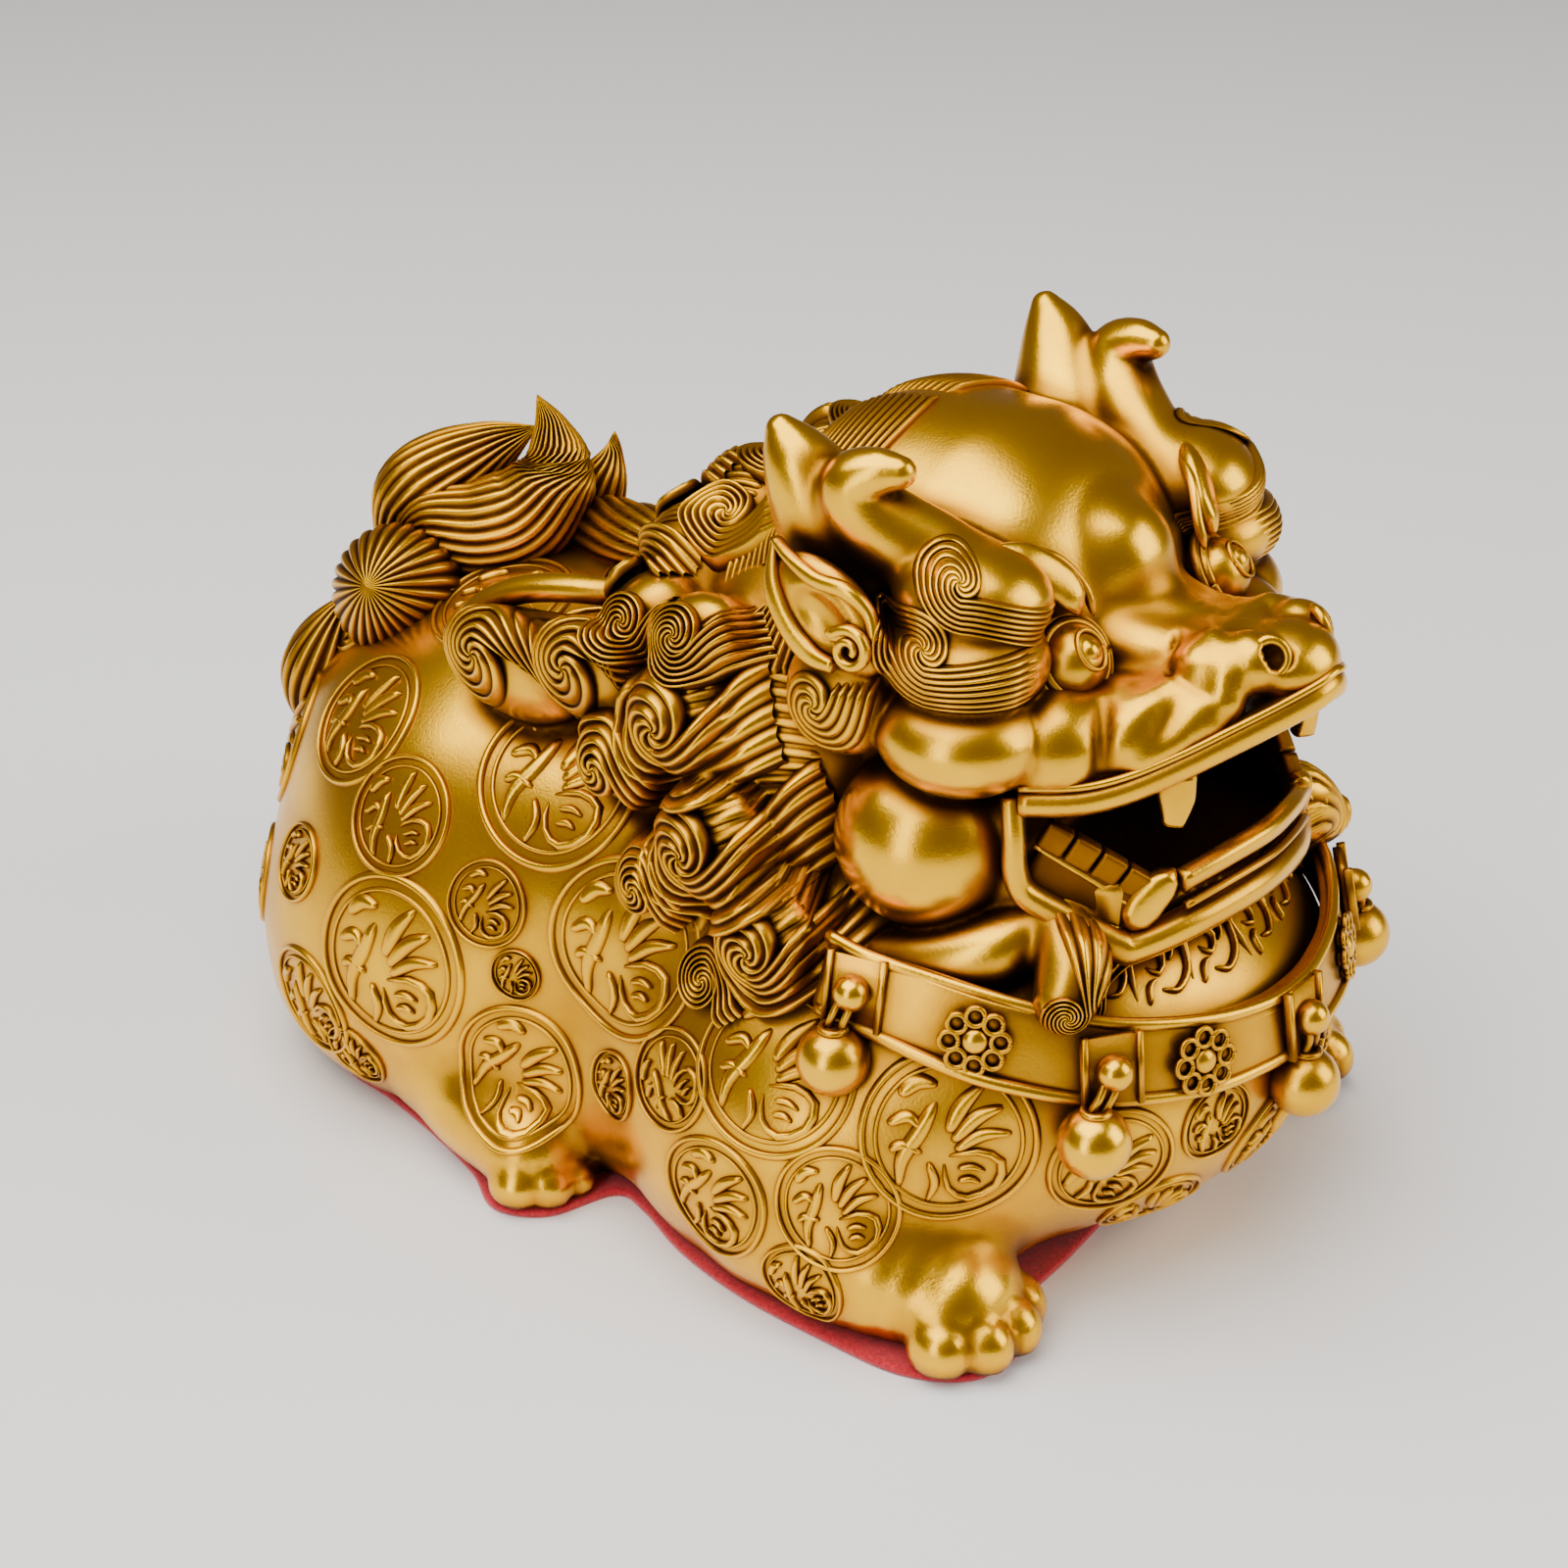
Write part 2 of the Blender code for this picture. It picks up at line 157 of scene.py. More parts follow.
def gradient(points, forms, step=0.15):
    # slope of the distance, from its change along each axis
    g = np.empty_like(points)
    for axis in range(3):
        shift = np.zeros(3)
        shift[axis] = step
        g[:, axis] = (pointField(points + shift, forms) - pointField(points - shift, forms)) / (2 * step)
    return g / (np.linalg.norm(g, axis=1)[:, None] + 1e-9)


def settle(points, forms, rounds=4, lift=0.0):
    # points slid along the slope until they lie on the forms' skin, or lift mm above it
    p = np.array(points, float)
    for _ in range(rounds):
        d = pointField(p, forms) - lift
        p -= np.clip(d, -3, 3)[:, None] * gradient(p, forms)
    return p


def recessOf(points, normals, forms, reaches=(1.6, 4.0)):
    # how sunk a place is: one less the free distance straight above it over the height looked from; the brass is
    # painted darker by it, brown antiquing together with painted shade in the hollows
    open_ = sum(np.clip(pointField(points + normals * r, forms) / r, 0, 1) for r in reaches) / len(reaches)
    return np.clip(1 - open_, 0, 1) * 0.85


def skin(forms, low, high, step, rounds=3):
    # the forms' skin as quads: one point in each cell that the skin crosses, joined across crossed edges
    low, high = np.array(low, float), np.array(high, float)
    halfCount = int(math.ceil(-low[0] / step))
    xs = -(np.arange(halfCount)[::-1] + 0.5) * step
    ys = np.arange(low[1], high[1] + step, step)
    zs = np.arange(low[2], high[2] + step, step)
    d = np.full((len(xs), len(ys), len(zs)), 40.0, np.float32)
    for form in forms:
        a, b = formBox(form)
        i0, i1 = np.searchsorted(xs, (a[0], b[0]))
        j0, j1 = np.searchsorted(ys, (a[1], b[1]))
        k0, k1 = np.searchsorted(zs, (a[2], b[2]))
        if i0 < i1 and j0 < j1 and k0 < k1:
            part = d[i0:i1, j0:j1, k0:k1]
            v = distanceTo[form["kind"]](
                xs[i0:i1, None, None], ys[None, j0:j1, None], zs[None, None, k0:k1], form
            )
            d[i0:i1, j0:j1, k0:k1] = joinForm(part, v, form)
    values = np.concatenate([d, d[::-1]], axis=0)
    values[0], values[-1] = 40, 40
    values[:, 0], values[:, -1] = 40, 40
    values[:, :, 0], values[:, :, -1] = 40, 40
    inside = values < 0
    count = sum(
        inside[i : inside.shape[0] - 1 + i, j : inside.shape[1] - 1 + j, k : inside.shape[2] - 1 + k].astype(np.int8)
        for i in (0, 1) for j in (0, 1) for k in (0, 1)
    )
    crossed = (count > 0) & (count < 8)
    number = np.full(crossed.shape, -1, int)
    cells = np.argwhere(crossed)
    number[crossed] = np.arange(len(cells))
    total, hits = np.zeros((len(cells), 3)), np.zeros(len(cells))
    for axis in range(3):
        others = [i for i in range(3) if i != axis]
        for u in (0, 1):
            for v in (0, 1):
                corner = np.zeros(3, int)
                corner[others[0]], corner[others[1]] = u, v
                a = cells + corner
                b = a.copy()
                b[:, axis] += 1
                va, vb = values[tuple(a.T)], values[tuple(b.T)]
                cut = (va < 0) != (vb < 0)
                at = corner + np.zeros((len(cells), 3))
                at[:, axis] += np.where(cut, va / np.where(cut, va - vb, 1), 0)
                total += at * cut[:, None]
                hits += cut
    points = np.array([xs[0], ys[0], zs[0]]) + step * (cells + total / hits[:, None])
    quads = []
    for axis in range(3):
        u, v = (axis + 1) % 3, (axis + 2) % 3
        start = np.take(inside, range(inside.shape[axis] - 1), axis)
        end = np.take(inside, range(1, inside.shape[axis]), axis)
        edge = np.argwhere(start != end)
        edge = edge[(edge[:, u] > 0) & (edge[:, v] > 0)]
        edge = edge[(edge[:, u] < crossed.shape[u]) & (edge[:, v] < crossed.shape[v])]
        corners = []
        for du, dv in ((-1, -1), (0, -1), (0, 0), (-1, 0)):
            cell = edge.copy()
            cell[:, u] += du
            cell[:, v] += dv
            corners.append(number[tuple(cell.T)])
        quad = np.stack(corners, 1)
        outward = start[tuple(edge.T)]
        quad[~outward] = quad[~outward][:, ::-1]
        quads.append(quad)
    for _ in range(rounds):
        shift = np.clip(pointField(points, forms), -step, step)[:, None] * gradient(points, forms)
        points = points - shift * 0.9
    return points, np.vstack(quads)


# meshes

def makePiece(name, points, faces, material, recess=None, smooth=True):
    # one object from points in the sculptor's mm and quads or triangles
    mesh = bpy.data.meshes.new(name)
    kept = faces != np.roll(faces, 1, axis=1)  # an end cap's triangle is a quad that repeats a corner
    corners = kept.sum(axis=1)
    mesh.vertices.add(len(points))
    mesh.vertices.foreach_set("co", toFrame(points).astype(np.float32).ravel())
    mesh.loops.add(int(corners.sum()))
    mesh.loops.foreach_set("vertex_index", faces[kept].astype(np.int32))
    mesh.polygons.add(len(faces))
    mesh.polygons.foreach_set("loop_start", (np.cumsum(corners) - corners).astype(np.int32))
    mesh.polygons.foreach_set("loop_total", corners.astype(np.int32))
    mesh.polygons.foreach_set("use_smooth", np.full(len(faces), smooth))
    mesh.update(calc_edges=True)
    values = np.zeros(len(points)) if recess is None else recess
    layer = mesh.attributes.new("recess", "FLOAT", "POINT")
    layer.data.foreach_set("value", values.astype(np.float32))
    piece = bpy.data.objects.new(name, mesh)
    bpy.context.scene.collection.objects.link(piece)
    mesh.materials.append(material)
    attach(piece, "root")
    print(f"{name}: {int((corners - 2).sum())} triangles")
    return piece


# materials

def linear(hexColour):
    # sRGB hex to linear: divide by 12.92 when dark, else the 2.4 power
    c = np.array([int(hexColour[i : i + 2], 16) / 255 for i in (1, 3, 5)])
    c = np.where(c <= 0.04045, c / 12.92, ((c + 0.055) / 1.055) ** 2.4)
    return (*c, 1.0)


def addNode(tree, kind, settings=None, links=None):
    # one node, with its own settings, socket values by name or number, and links into its sockets
    node = tree.nodes.new(kind)
    for key, value in (settings or {}).items():
        if hasattr(node, str(key)) and key not in node.inputs:
            setattr(node, key, value)
        else:
            node.inputs[key].default_value = value
    for key, source in (links or {}).items():
        tree.links.new(source, node.inputs[key])
    return node


def setRamp(node, stops):
    ramp = node.color_ramp
    while len(ramp.elements) > 1:
        ramp.elements.remove(ramp.elements[-1])
    ramp.elements[0].position, ramp.elements[0].color = stops[0][0], linear(stops[0][1])
    for place, colour in stops[1:]:
        ramp.elements.new(place).color = linear(colour)


brassLook = {"reach": 0.006, "brushGrain": 0.35, "cloud": 14.0, "castGrain": 0.5}


def makeBrass(name, deep, low, mid, high, roughLow, roughHigh, grain=0.25):
    # cast brass with brown antiquing and painted shade darkening the recesses and the places where parts meet, and
    # rubbed bright on what stands proud
    material = bpy.data.materials.new(name)
    material.use_nodes = True
    tree = material.node_tree
    shader = tree.nodes["Principled BSDF"]
    place = addNode(tree, "ShaderNodeTexCoord").outputs["Object"]
    recess = addNode(tree, "ShaderNodeAttribute", {"attribute_name": "recess"}).outputs["Fac"]
    # painted shade: ambient occlusion within a short reach darkens the colour in hollows and where separate parts meet
    hidden = addNode(tree, "ShaderNodeAmbientOcclusion", {"samples": 6, "Distance": brassLook["reach"]})
    cloud = addNode(
        tree, "ShaderNodeTexNoise", {"Scale": 1000 / brassLook["cloud"], "Detail": 4.0}, {"Vector": place}
    ).outputs["Fac"]
    fine = addNode(
        tree, "ShaderNodeTexNoise", {"Scale": 1000 / brassLook["castGrain"], "Detail": 3.0}, {"Vector": place}
    ).outputs["Fac"]
    shade = addNode(
        tree, "ShaderNodeMath", {"operation": "SUBTRACT", 0: 1.0}, {1: hidden.outputs["AO"]}
    ).outputs[0]
    # antiquing and painted shade together: the occlusion's shade plus the recess value, which turn the gold towards
    # dark brown
    antiquingAndShade = addNode(
        tree, "ShaderNodeMath", {"operation": "MULTIPLY_ADD", 1: 0.75}, {0: shade, 2: recess}
    ).outputs[0]
    # random cloudy tone added on top of the antiquing and painted shade
    toneAndShade = addNode(
        tree, "ShaderNodeMath", {"operation": "MULTIPLY_ADD", 1: 0.30}, {0: cloud, 2: antiquingAndShade}
    ).outputs[0]
    ramp = addNode(tree, "ShaderNodeValToRGB", None, {"Fac": toneAndShade})
    setRamp(ramp, [(0.10, high), (0.32, mid), (0.62, low), (0.95, deep)])
    tree.links.new(ramp.outputs["Color"], shader.inputs["Base Color"])
    rough = addNode(
        tree, "ShaderNodeMapRange", {"From Min": 0.1, "From Max": 0.9, "To Min": roughLow, "To Max": roughHigh},
        {"Value": toneAndShade},
    ).outputs["Result"]
    tree.links.new(rough, shader.inputs["Roughness"])
    bump = addNode(
        tree, "ShaderNodeBump", {"Strength": grain, "Distance": 0.00012}, {"Height": fine}
    ).outputs["Normal"]
    tree.links.new(bump, shader.inputs["Normal"])
    shader.inputs["Metallic"].default_value = 1.0
    return material


brass = makeBrass("castBrass", "#3A1E02", "#804C02", "#D09204", "#FFC300", 0.24, 0.56)
print("materials ready")


# the body

def egg(at, size, blend=2.0, turn=None, cut=False):
    form = {"kind": "egg", "at": at, "size": size, "blend": blend, "cut": cut}
    if turn:
        form["turn"] = turn
    return form


def taper(line, blend=2.0, cut=False, steps=4):
    return {"kind": "taper", "line": line, "blend": blend, "cut": cut, "steps": steps}


def toes(at, reach, size, angles):
    return [
        egg((at[0] + reach[0] * math.sin(math.radians(a)), at[1] - reach[1] * math.cos(math.radians(a)), size * 1.1),
            (size, size * 1.2, size * 1.15), 0.8)
        for a in angles
    ]


# the lumps that the mane's locks and the wings' scrolls lie on
maneForms = [
    egg((-46, -33, 95), (6, 9, 9), 3), egg((-49, -42, 77), (6.5, 10, 10), 3), egg((-50, -54, 63), (6, 9, 9), 3),
    egg((-46, -22, 84), (6.5, 9, 9), 3), egg((-49, -32, 66), (6, 8, 8), 3), egg((-36, -20, 104), (8, 9, 8), 3),
    egg((-41, -34, 106), (7, 9, 8), 3), egg((-22, -18, 111), (10, 10, 8), 4), egg((-48, -44, 55), (5, 7, 7), 3),
    egg((-12, -22, 116), (10, 9, 9), 5), egg((-8, -8, 104), (9, 9, 8), 4),
]
wingForms = [
    egg((-42, 7, 90), (7.5, 13.5, 12.5), 2, (0, -28, 0)),
    egg((-43, -13, 94.5), (7.5, 12.5, 11.5), 2, (0, -28, 0)),
]

bodyForms = [
    egg((0, 23, 45), (61, 61.6, 47)),
    egg((0, -22, 45), (57, 60, 46), 14),
    egg((0, -74, 37), (54, 48, 36.5), 10),
    egg((0, -75, 9), (36, 22, 11), 8),
    egg((-38, 20, 30), (29, 42, 33), 8, (0, 0, 6)),
    egg((-33, 39, 25), (28, 34.5, 28.5), 10),
    egg((-34, 36, 13), (26, 34, 16), 8),
    egg((-32, -8, 20), (29, 32, 26), 8),
    egg((-37, -54, 24), (30, 43, 35), 8),
    taper([(-53, -60, 14, 14), (-53.5, -76, 12, 13.2), (-51, -92, 9, 10)], 6),
    taper([(-52, 16, 12, 12), (-56, 4, 11, 12), (-60, -8, 9, 9.5)], 4),
    egg((-50.5, -93, 8.5), (12, 9.5, 8.5), 2),
    *toes((-50.5, -92), (10.6, 9.5), 4.8, (-66, -26, 12, 48)),
    egg((-60, -8, 8), (9.5, 9, 7.5), 2),
    *toes((-60, -8), (7.8, 7.5), 4.2, (-70, -30, 10, 48)),
    egg((0, -42, 87), (45, 35, 41), 3),
    *maneForms,
    *wingForms,
    {"kind": "block", "planes": [(0, 0, 1, 1.8)], "box": ((-80, -140, -5), (0, 100, 1.8)), "cut": True, "blend": 0.6},
]

hornForms = [
    taper([(-29, -56, 122, 10.5), (-33, -52, 130, 8.8), (-35.5, -48.5, 138, 6), (-36.5, -45.3, 143.5, 2.6)], 3,
          steps=10),
    taper([(-25, -79, 120, 7), (-30, -70.5, 126.5, 7), (-35, -62.5, 132.5, 6.4), (-37, -60, 138, 5.4),
           (-36.8, -63.5, 141, 4), (-36, -67.6, 141.9, 2.6)], 2.5, steps=8),
    egg((-44.5, -61, 119.5), (4, 12, 7.5), 1.5, (32, 0, 0)),
    egg((-50, -62, 120), (4, 7, 4.5), 1, (32, 0, 0), True),
]

headForms = [
    egg((0, -61, 107), (35, 31, 33)),
    egg((0, -47.5, 116), (33, 20, 23), 5),
    egg((0, -52, 92), (38, 30, 30), 8),
    egg((0, -70, 92), (36, 28, 26), 4),
    egg((0, -83, 119.5), (11, 10.5, 11), 3),
    taper([(0, -86, 106, 12), (0, -99, 105, 11.5), (0, -110, 107.5, 9), (0, -118.5, 110.5, 6)], 5),
    taper([(-9, -90, 110, 5), (-8, -99, 110, 4.5), (-6, -107, 112, 4.5)], 3),
    egg((-26, -90, 100), (11, 11, 9.5), 3, (0, 0, 35)),
    egg((-17.5, -99, 101), (10.5, 9.5, 8.5), 3, (0, 0, 40)),
    egg((-11, -106.5, 104.5), (9.5, 8.5, 7), 3, (0, 0, 40)),
    taper([(-25.5, -100.5, 100.5, 1.6), (-21.5, -103, 105.5, 2.8), (-16, -105.5, 108.5, 2)], 2),
    taper([(-24, -105.5, 99.5, 1.4), (-19, -109, 103, 2.6), (-15, -111, 107, 1.8)], 1.6),
    taper([(-8.5, -108, 114.5, 2.6), (-10, -111.5, 111.8, 4.4), (-12.4, -112.6, 108.2, 3.6)], 1.4),
    taper([(-24.5, -98.5, 108.4, 0.5), (-27.8, -100.6, 104.3, 0.9), (-29, -101.8, 97.5, 0.7)], 1.8, True),
    taper([(-8.5, -101.5, 115.5, 0.5), (-13.6, -104.5, 111, 1.2), (-15.5, -108, 108.5, 0.7)], 0.8, True),
    egg((-15.6, -107.5, 108.6), (1, 1.7, 1.3), 0.8),
    egg((0, -117, 111.5), (9, 7, 6), 2),
    egg((-9.5, -108, 110.5), (6, 6, 5.8), 1),
    egg((-7.5, -114, 113), (5, 5.5, 5), 1),
    egg((-7.5, -119, 115.5), (2.2, 3, 2.2), 0.8, cut=True),
    egg((-31.5, -78.5, 122.5), (11, 12.5, 8.5), 2, (0, 0, 30)),
    egg((-34, -79.5, 113.5), (12.5, 13, 8.5), 1.5, (0, 0, 30)),
    egg((-35, -79.8, 101.5), (13.6, 14, 9.6), 0.8),
    egg((-33.8, -73, 80.6), (15.2, 15.2, 15.2), 0.8),
    taper([(-33, -93, 71, 3.2), (-36.5, -88, 66, 6.4), (-40, -80, 62.5, 6.6), (-43, -72, 62, 3.6)], 0.8, steps=8),
    taper([(-30, -96, 72, 4.6), (-33.5, -101, 67, 6), (-38, -102.5, 62.5, 5)], 2.5, steps=8),
    egg((0, -72, 58), (40, 36, 22), 3),
    egg((0, -90, 69), (27, 18, 9), 2),
    {"kind": "block", "round": 1.5, "blend": 1, "box": ((-40, -125, 62), (1, -78, 100)),
     "planes": [(0, 0, 1, 79), (0, 0, -1, -66), (-1, -0.45, 0, 74.5), (-0.3, -1, 0, 113), (0, 1, 0, -84),
                (0, -0.85, -1, 27)]},
    {"kind": "block", "round": 2.5, "blend": 1, "cut": True, "box": ((-32, -150, 73), (1, -80, 112)),
     "planes": [(0, 0, -1, -74), (0, 1, 0, -82), (-1, -0.42, 0, 69), (0, 0.5, 1, 42.5)]},
    *hornForms,
    egg((-41.5, -61.5, 105), (7, 10, 10), 1),
]

print("shaping body")
points, faces = skin(bodyForms, (-76, -124, -2), (76, 92, 132), 1.5)
recess = recessOf(points, gradient(points, bodyForms + headForms), bodyForms + headForms)
body = makePiece("body", points, faces, brass, recess)

print("shaping head")
points, faces = skin(headForms, (-56, -130, 34), (56, -20, 150), 0.8)
recess = recessOf(points, gradient(points, headForms), headForms + bodyForms)
# painted shade: the inside of the mouth is painted darkest, the shadow in the cavity together with the brown antiquing
mouthHollow = next(form for form in headForms if form["kind"] == "block" and form.get("cut"))
inMouth = blockDistance(-np.abs(points[:, 0]), points[:, 1], points[:, 2], mouthHollow) < 0.5
recess = np.where(inMouth, 1.1, recess)
head = makePiece("head", points, faces, brass, recess)
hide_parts("pixiu_figure")


# hair: sheets of round strands

def gridFaces(rows, columns, closed=False):
    # quads between neighbouring rows and columns of points
    i = np.arange(rows - 1)[:, None]
    j = np.arange(columns if closed else columns - 1)[None]
    k = (j + 1) % columns
    return np.stack([i * columns + j, i * columns + k, (i + 1) * columns + k, (i + 1) * columns + j], -1).reshape(-1, 4)


def layOn(points, normal, forms, lift, rise=12.0, rounds=26):
    # points lowered against the normal from above until they meet the forms' skin, then raised by their lift
    p = points + normal * rise
    for _ in range(rounds):
        p -= normal * np.clip(pointField(p, forms) * 0.85, -2, 3)[:, None]
    return p + normal * lift[:, None]


def strandRidge(q, count):
    # round strands side by side: a row of half circles, flattened a little
    return np.abs(np.sin(np.pi * count * q)) ** 0.7


def curlLock(form, forms):
    # a lock whose strands leave a root line, sweep past an eye and wind into it on an even spiral
    count, big, small = form["strands"], form["reach"], form.get("core", 2.6)
    sense = form.get("sense", 1)
    q = np.linspace(0, 1, count * 6 + 1)[:, None]
    start = math.radians(form.get("start", -90))
    turns = big / (big - small) * 0.97
    phi = np.linspace(0, turns * 2 * math.pi, form.get("arcSteps", 46))[None]
    radius = small + (big - small) * q
    r = np.maximum(radius - (big - small) * phi / (2 * math.pi), 0.02)
    arc = np.stack([r * np.cos(start - phi), r * np.sin(start - phi)], -1)
    root0, root1 = np.array(form["roots"][0], float), np.array(form["roots"][1], float)
    root = root0 + (root1 - root0) * q
    flow = np.array(form.get("flow", (-1, -0.4)), float)
    flow /= np.linalg.norm(flow)
    a0 = arc[:, 0]
    away = np.array([math.sin(start), -math.cos(start)])
    span = np.linalg.norm(a0 - root, axis=1)[:, None, None]
    t = np.linspace(0, 1, form.get("flowSteps", 22), endpoint=False)[None, :, None]
    bend = (
        (2 * t**3 - 3 * t**2 + 1) * root[:, None] + (t**3 - 2 * t**2 + t) * span * flow
        + (3 * t**2 - 2 * t**3) * a0[:, None] + (t**3 - t**2) * span * away
    )
    flat = np.concatenate([bend, arc], 1)
    flat[..., 1] *= sense
    front, up = np.array(form["front"], float), np.array(form["up"], float)
    front, up = front / np.linalg.norm(front), up / np.linalg.norm(up)
    normal = np.cross(front, up)
    normal /= np.linalg.norm(normal)
    base = np.array(form["eye"], float) + flat[..., 0:1] * front + flat[..., 1:2] * up
    fromEye = np.linalg.norm(flat, axis=-1)
    ridge = strandRidge(q, count) * form.get("height", 1.5) * np.clip(fromEye / 2.5, 0.3, 1)
    rim = np.clip(np.minimum(q, 1 - q) * count * 2, 0, 1)
    inFlow = np.arange(flat.shape[1])[None] < flat.shape[1] - 40
    tuck = -1.2 * (1 - rim) * inFlow
    rootTuck = -form.get("bury", 1.5) * np.clip(1 - np.arange(flat.shape[1])[None] / 5, 0, 1)
    dome = form.get("dome", 1.4) * np.exp(-((fromEye / (big * 0.4)) ** 2)) + form.get("raise", 0.5)
    along = np.arange(flat.shape[1])[None] / form.get("flowSteps", 22)
    arch = form.get("arch", 0) * np.sin(np.pi * np.clip(along, 0, 1)) ** 0.8
    lift = dome + ridge + tuck + rootTuck + arch
    shape = flat.shape[:2]
    p = layOn(base.reshape(-1, 3), normal, forms, lift.ravel())
    # painted shade with the antiquing: the brass is painted darker in the grooves between the strands
    recess = np.clip(0.8 - 0.8 * strandRidge(q, count), 0, 1) ** 1.5 + 0 * fromEye
    faces = gridFaces(*shape)
    if sense < 0:
        faces = faces[:, ::-1]
    return p, faces, np.broadcast_to(recess, shape).ravel()


def combSheet(form, forms):
    # strands side by side from one edge line to another, laid on the forms from outside and arched between
    count, steps = form["strands"], form.get("steps", 36)
    q = np.linspace(0, 1, count * 6 + 1)
    edges = []
    for name in ("from", "to"):
        line = smoothLine(np.array(form[name], float), 12)
        far = np.append(0, np.cumsum(np.linalg.norm(np.diff(line, axis=0), axis=1)))
        edges.append(np.stack([np.interp(q * far[-1], far, line[:, i]) for i in range(3)], 1))
    s = np.linspace(0, 1, steps)[None, :, None]
    base = edges[0][:, None] * (1 - s) + edges[1][:, None] * s
    base = base + np.array(form.get("bow", (0, 0, 0)), float) * np.sin(np.pi * s)
    normal = base.reshape(-1, 3) - np.array(form["core"], float)
    normal /= np.linalg.norm(normal, axis=1)[:, None]
    ends = np.clip(np.minimum(s, 1 - s)[..., 0] * steps / 4, 0, 1)
    rim = np.clip(np.minimum(q, 1 - q) * count * 2, 0, 1)[:, None]
    ridge = strandRidge(q, count)[:, None] * form.get("height", 0.9)
    lift = ridge + form.get("raise", 0.3) - form.get("bury", 1.4) * (1 - ends) - 1.3 * (1 - rim)
    p = layOn(base.reshape(-1, 3), normal, forms, lift.ravel(), rise=8.0)
    faces = gridFaces(len(q), steps)
    a, b, c = (p[faces[:, i]] for i in (0, 1, 3))
    if np.sum(np.cross(b - a, c - a) * normal[faces[:, 0]]) < 0:
        faces = faces[:, ::-1]
    # painted shade with the antiquing: the brass is painted darker in the grooves between the strands
    recess = np.clip(0.8 - 0.8 * strandRidge(q, count), 0, 1)[:, None] ** 1.5 + 0 * s[..., 0]
    return p, faces, recess.ravel()


def joinParts(parts):
    # several point and face arrays as one
    points, faces, recess, count = [], [], [], 0
    for p, f, r in parts:
        points.append(p)
        faces.append(f + count)
        recess.append(r)
        count += len(p)
    return np.vstack(points), np.vstack(faces), np.concatenate(recess)


def mirrorPart(part):
    p, f, r = part
    return p * (-1, 1, 1), f[:, ::-1], r


def bothSides(parts):
    return parts + [mirrorPart(part) for part in parts]


side = {"front": (0.12, -0.99, 0), "up": (0, 0, 1)}
slope = {"front": (0, -1, 0), "up": (0.45, 0, 0.89)}
maneLocks = [
    {**side, "eye": (-52, -33, 95), "raise": 1.7, "reach": 13.5, "strands": 5, "roots": ((14, 12), (20, -5)), "flow": (-1, -0.45), "arch": 2.2},
    {**side, "eye": (-55, -41, 76), "raise": 1.7, "reach": 14, "strands": 6, "roots": ((17, 16), (24, -1)), "flow": (-1, -0.5), "arch": 2.6},
    {**side, "eye": (-55, -55, 63), "raise": 1.7, "reach": 11.5, "strands": 5, "roots": ((13, 15), (20, 0)), "flow": (-1, -0.5), "arch": 2.2},
    {**side, "eye": (-50, -20, 84), "raise": 1.7, "reach": 9, "strands": 4, "roots": ((8, 10), (14, 3)), "sense": -1},
    {**side, "eye": (-52, -30, 66), "raise": 1.7, "reach": 7.5, "strands": 4, "roots": ((6, 8), (11, 3)), "sense": -1},
    {**side, "eye": (-50, -44, 54), "raise": 1.7, "reach": 6, "strands": 4, "roots": ((5, 6), (9, 3)), "sense": -1},
    {**slope, "eye": (-40, -20, 104), "raise": 1.7, "reach": 7.5, "strands": 5, "roots": ((7, 7), (12, 2))},
    {**slope, "eye": (-44, -34, 107), "raise": 1.7, "reach": 8.5, "strands": 6, "roots": ((8, 8), (14, 1))},
]
nape = {"front": (0, -0.85, 0.53), "up": (0.95, 0, 0.3)}
napeLocks = [
    {**nape, "eye": (-10, -26, 126), "raise": 1.3, "reach": 7.5, "strands": 5, "roots": ((10, 2), (12, -6))},
    {**nape, "eye": (-24, -25, 119), "raise": 1.3, "reach": 8, "strands": 5, "roots": ((12, 3), (14, -6))},
    {**nape, "eye": (-34, -14, 106), "raise": 1.3, "reach": 7, "strands": 5, "roots": ((9, 3), (12, -5)), "sense": -1},
    {**nape, "eye": (-16, -12, 113), "raise": 1.3, "reach": 8, "strands": 5, "roots": ((11, 3), (13, -6)), "sense": -1},
    {**nape, "eye": (-5, -3, 104), "raise": 1.3, "reach": 6.5, "strands": 5, "roots": ((9, 2), (11, -5))},
    {**nape, "eye": (-26, -2, 100), "raise": 1.3, "reach": 7, "strands": 5, "roots": ((9, 3), (11, -5))},
]
combSheets = [
    # the crown, combed from a parting to each side behind the horns, then the nape down to the curls
    {"from": [(-0.3, -51, 141), (-0.3, -42, 140), (-0.3, -32, 134), (-0.3, -26, 129)],
     "to": [(-33, -50, 129), (-36, -42, 124), (-37, -34, 117), (-36, -28, 111)], "core": (0, -44, 108),
     "strands": 18, "bow": (0, -2, 4)},
    {"from": [(-36, -50, 122), (-40, -44, 118), (-41, -38, 113)],
     "to": [(-42, -50, 104), (-47, -40, 101), (-48, -30, 97)], "core": (0, -46, 100), "strands": 10},
]
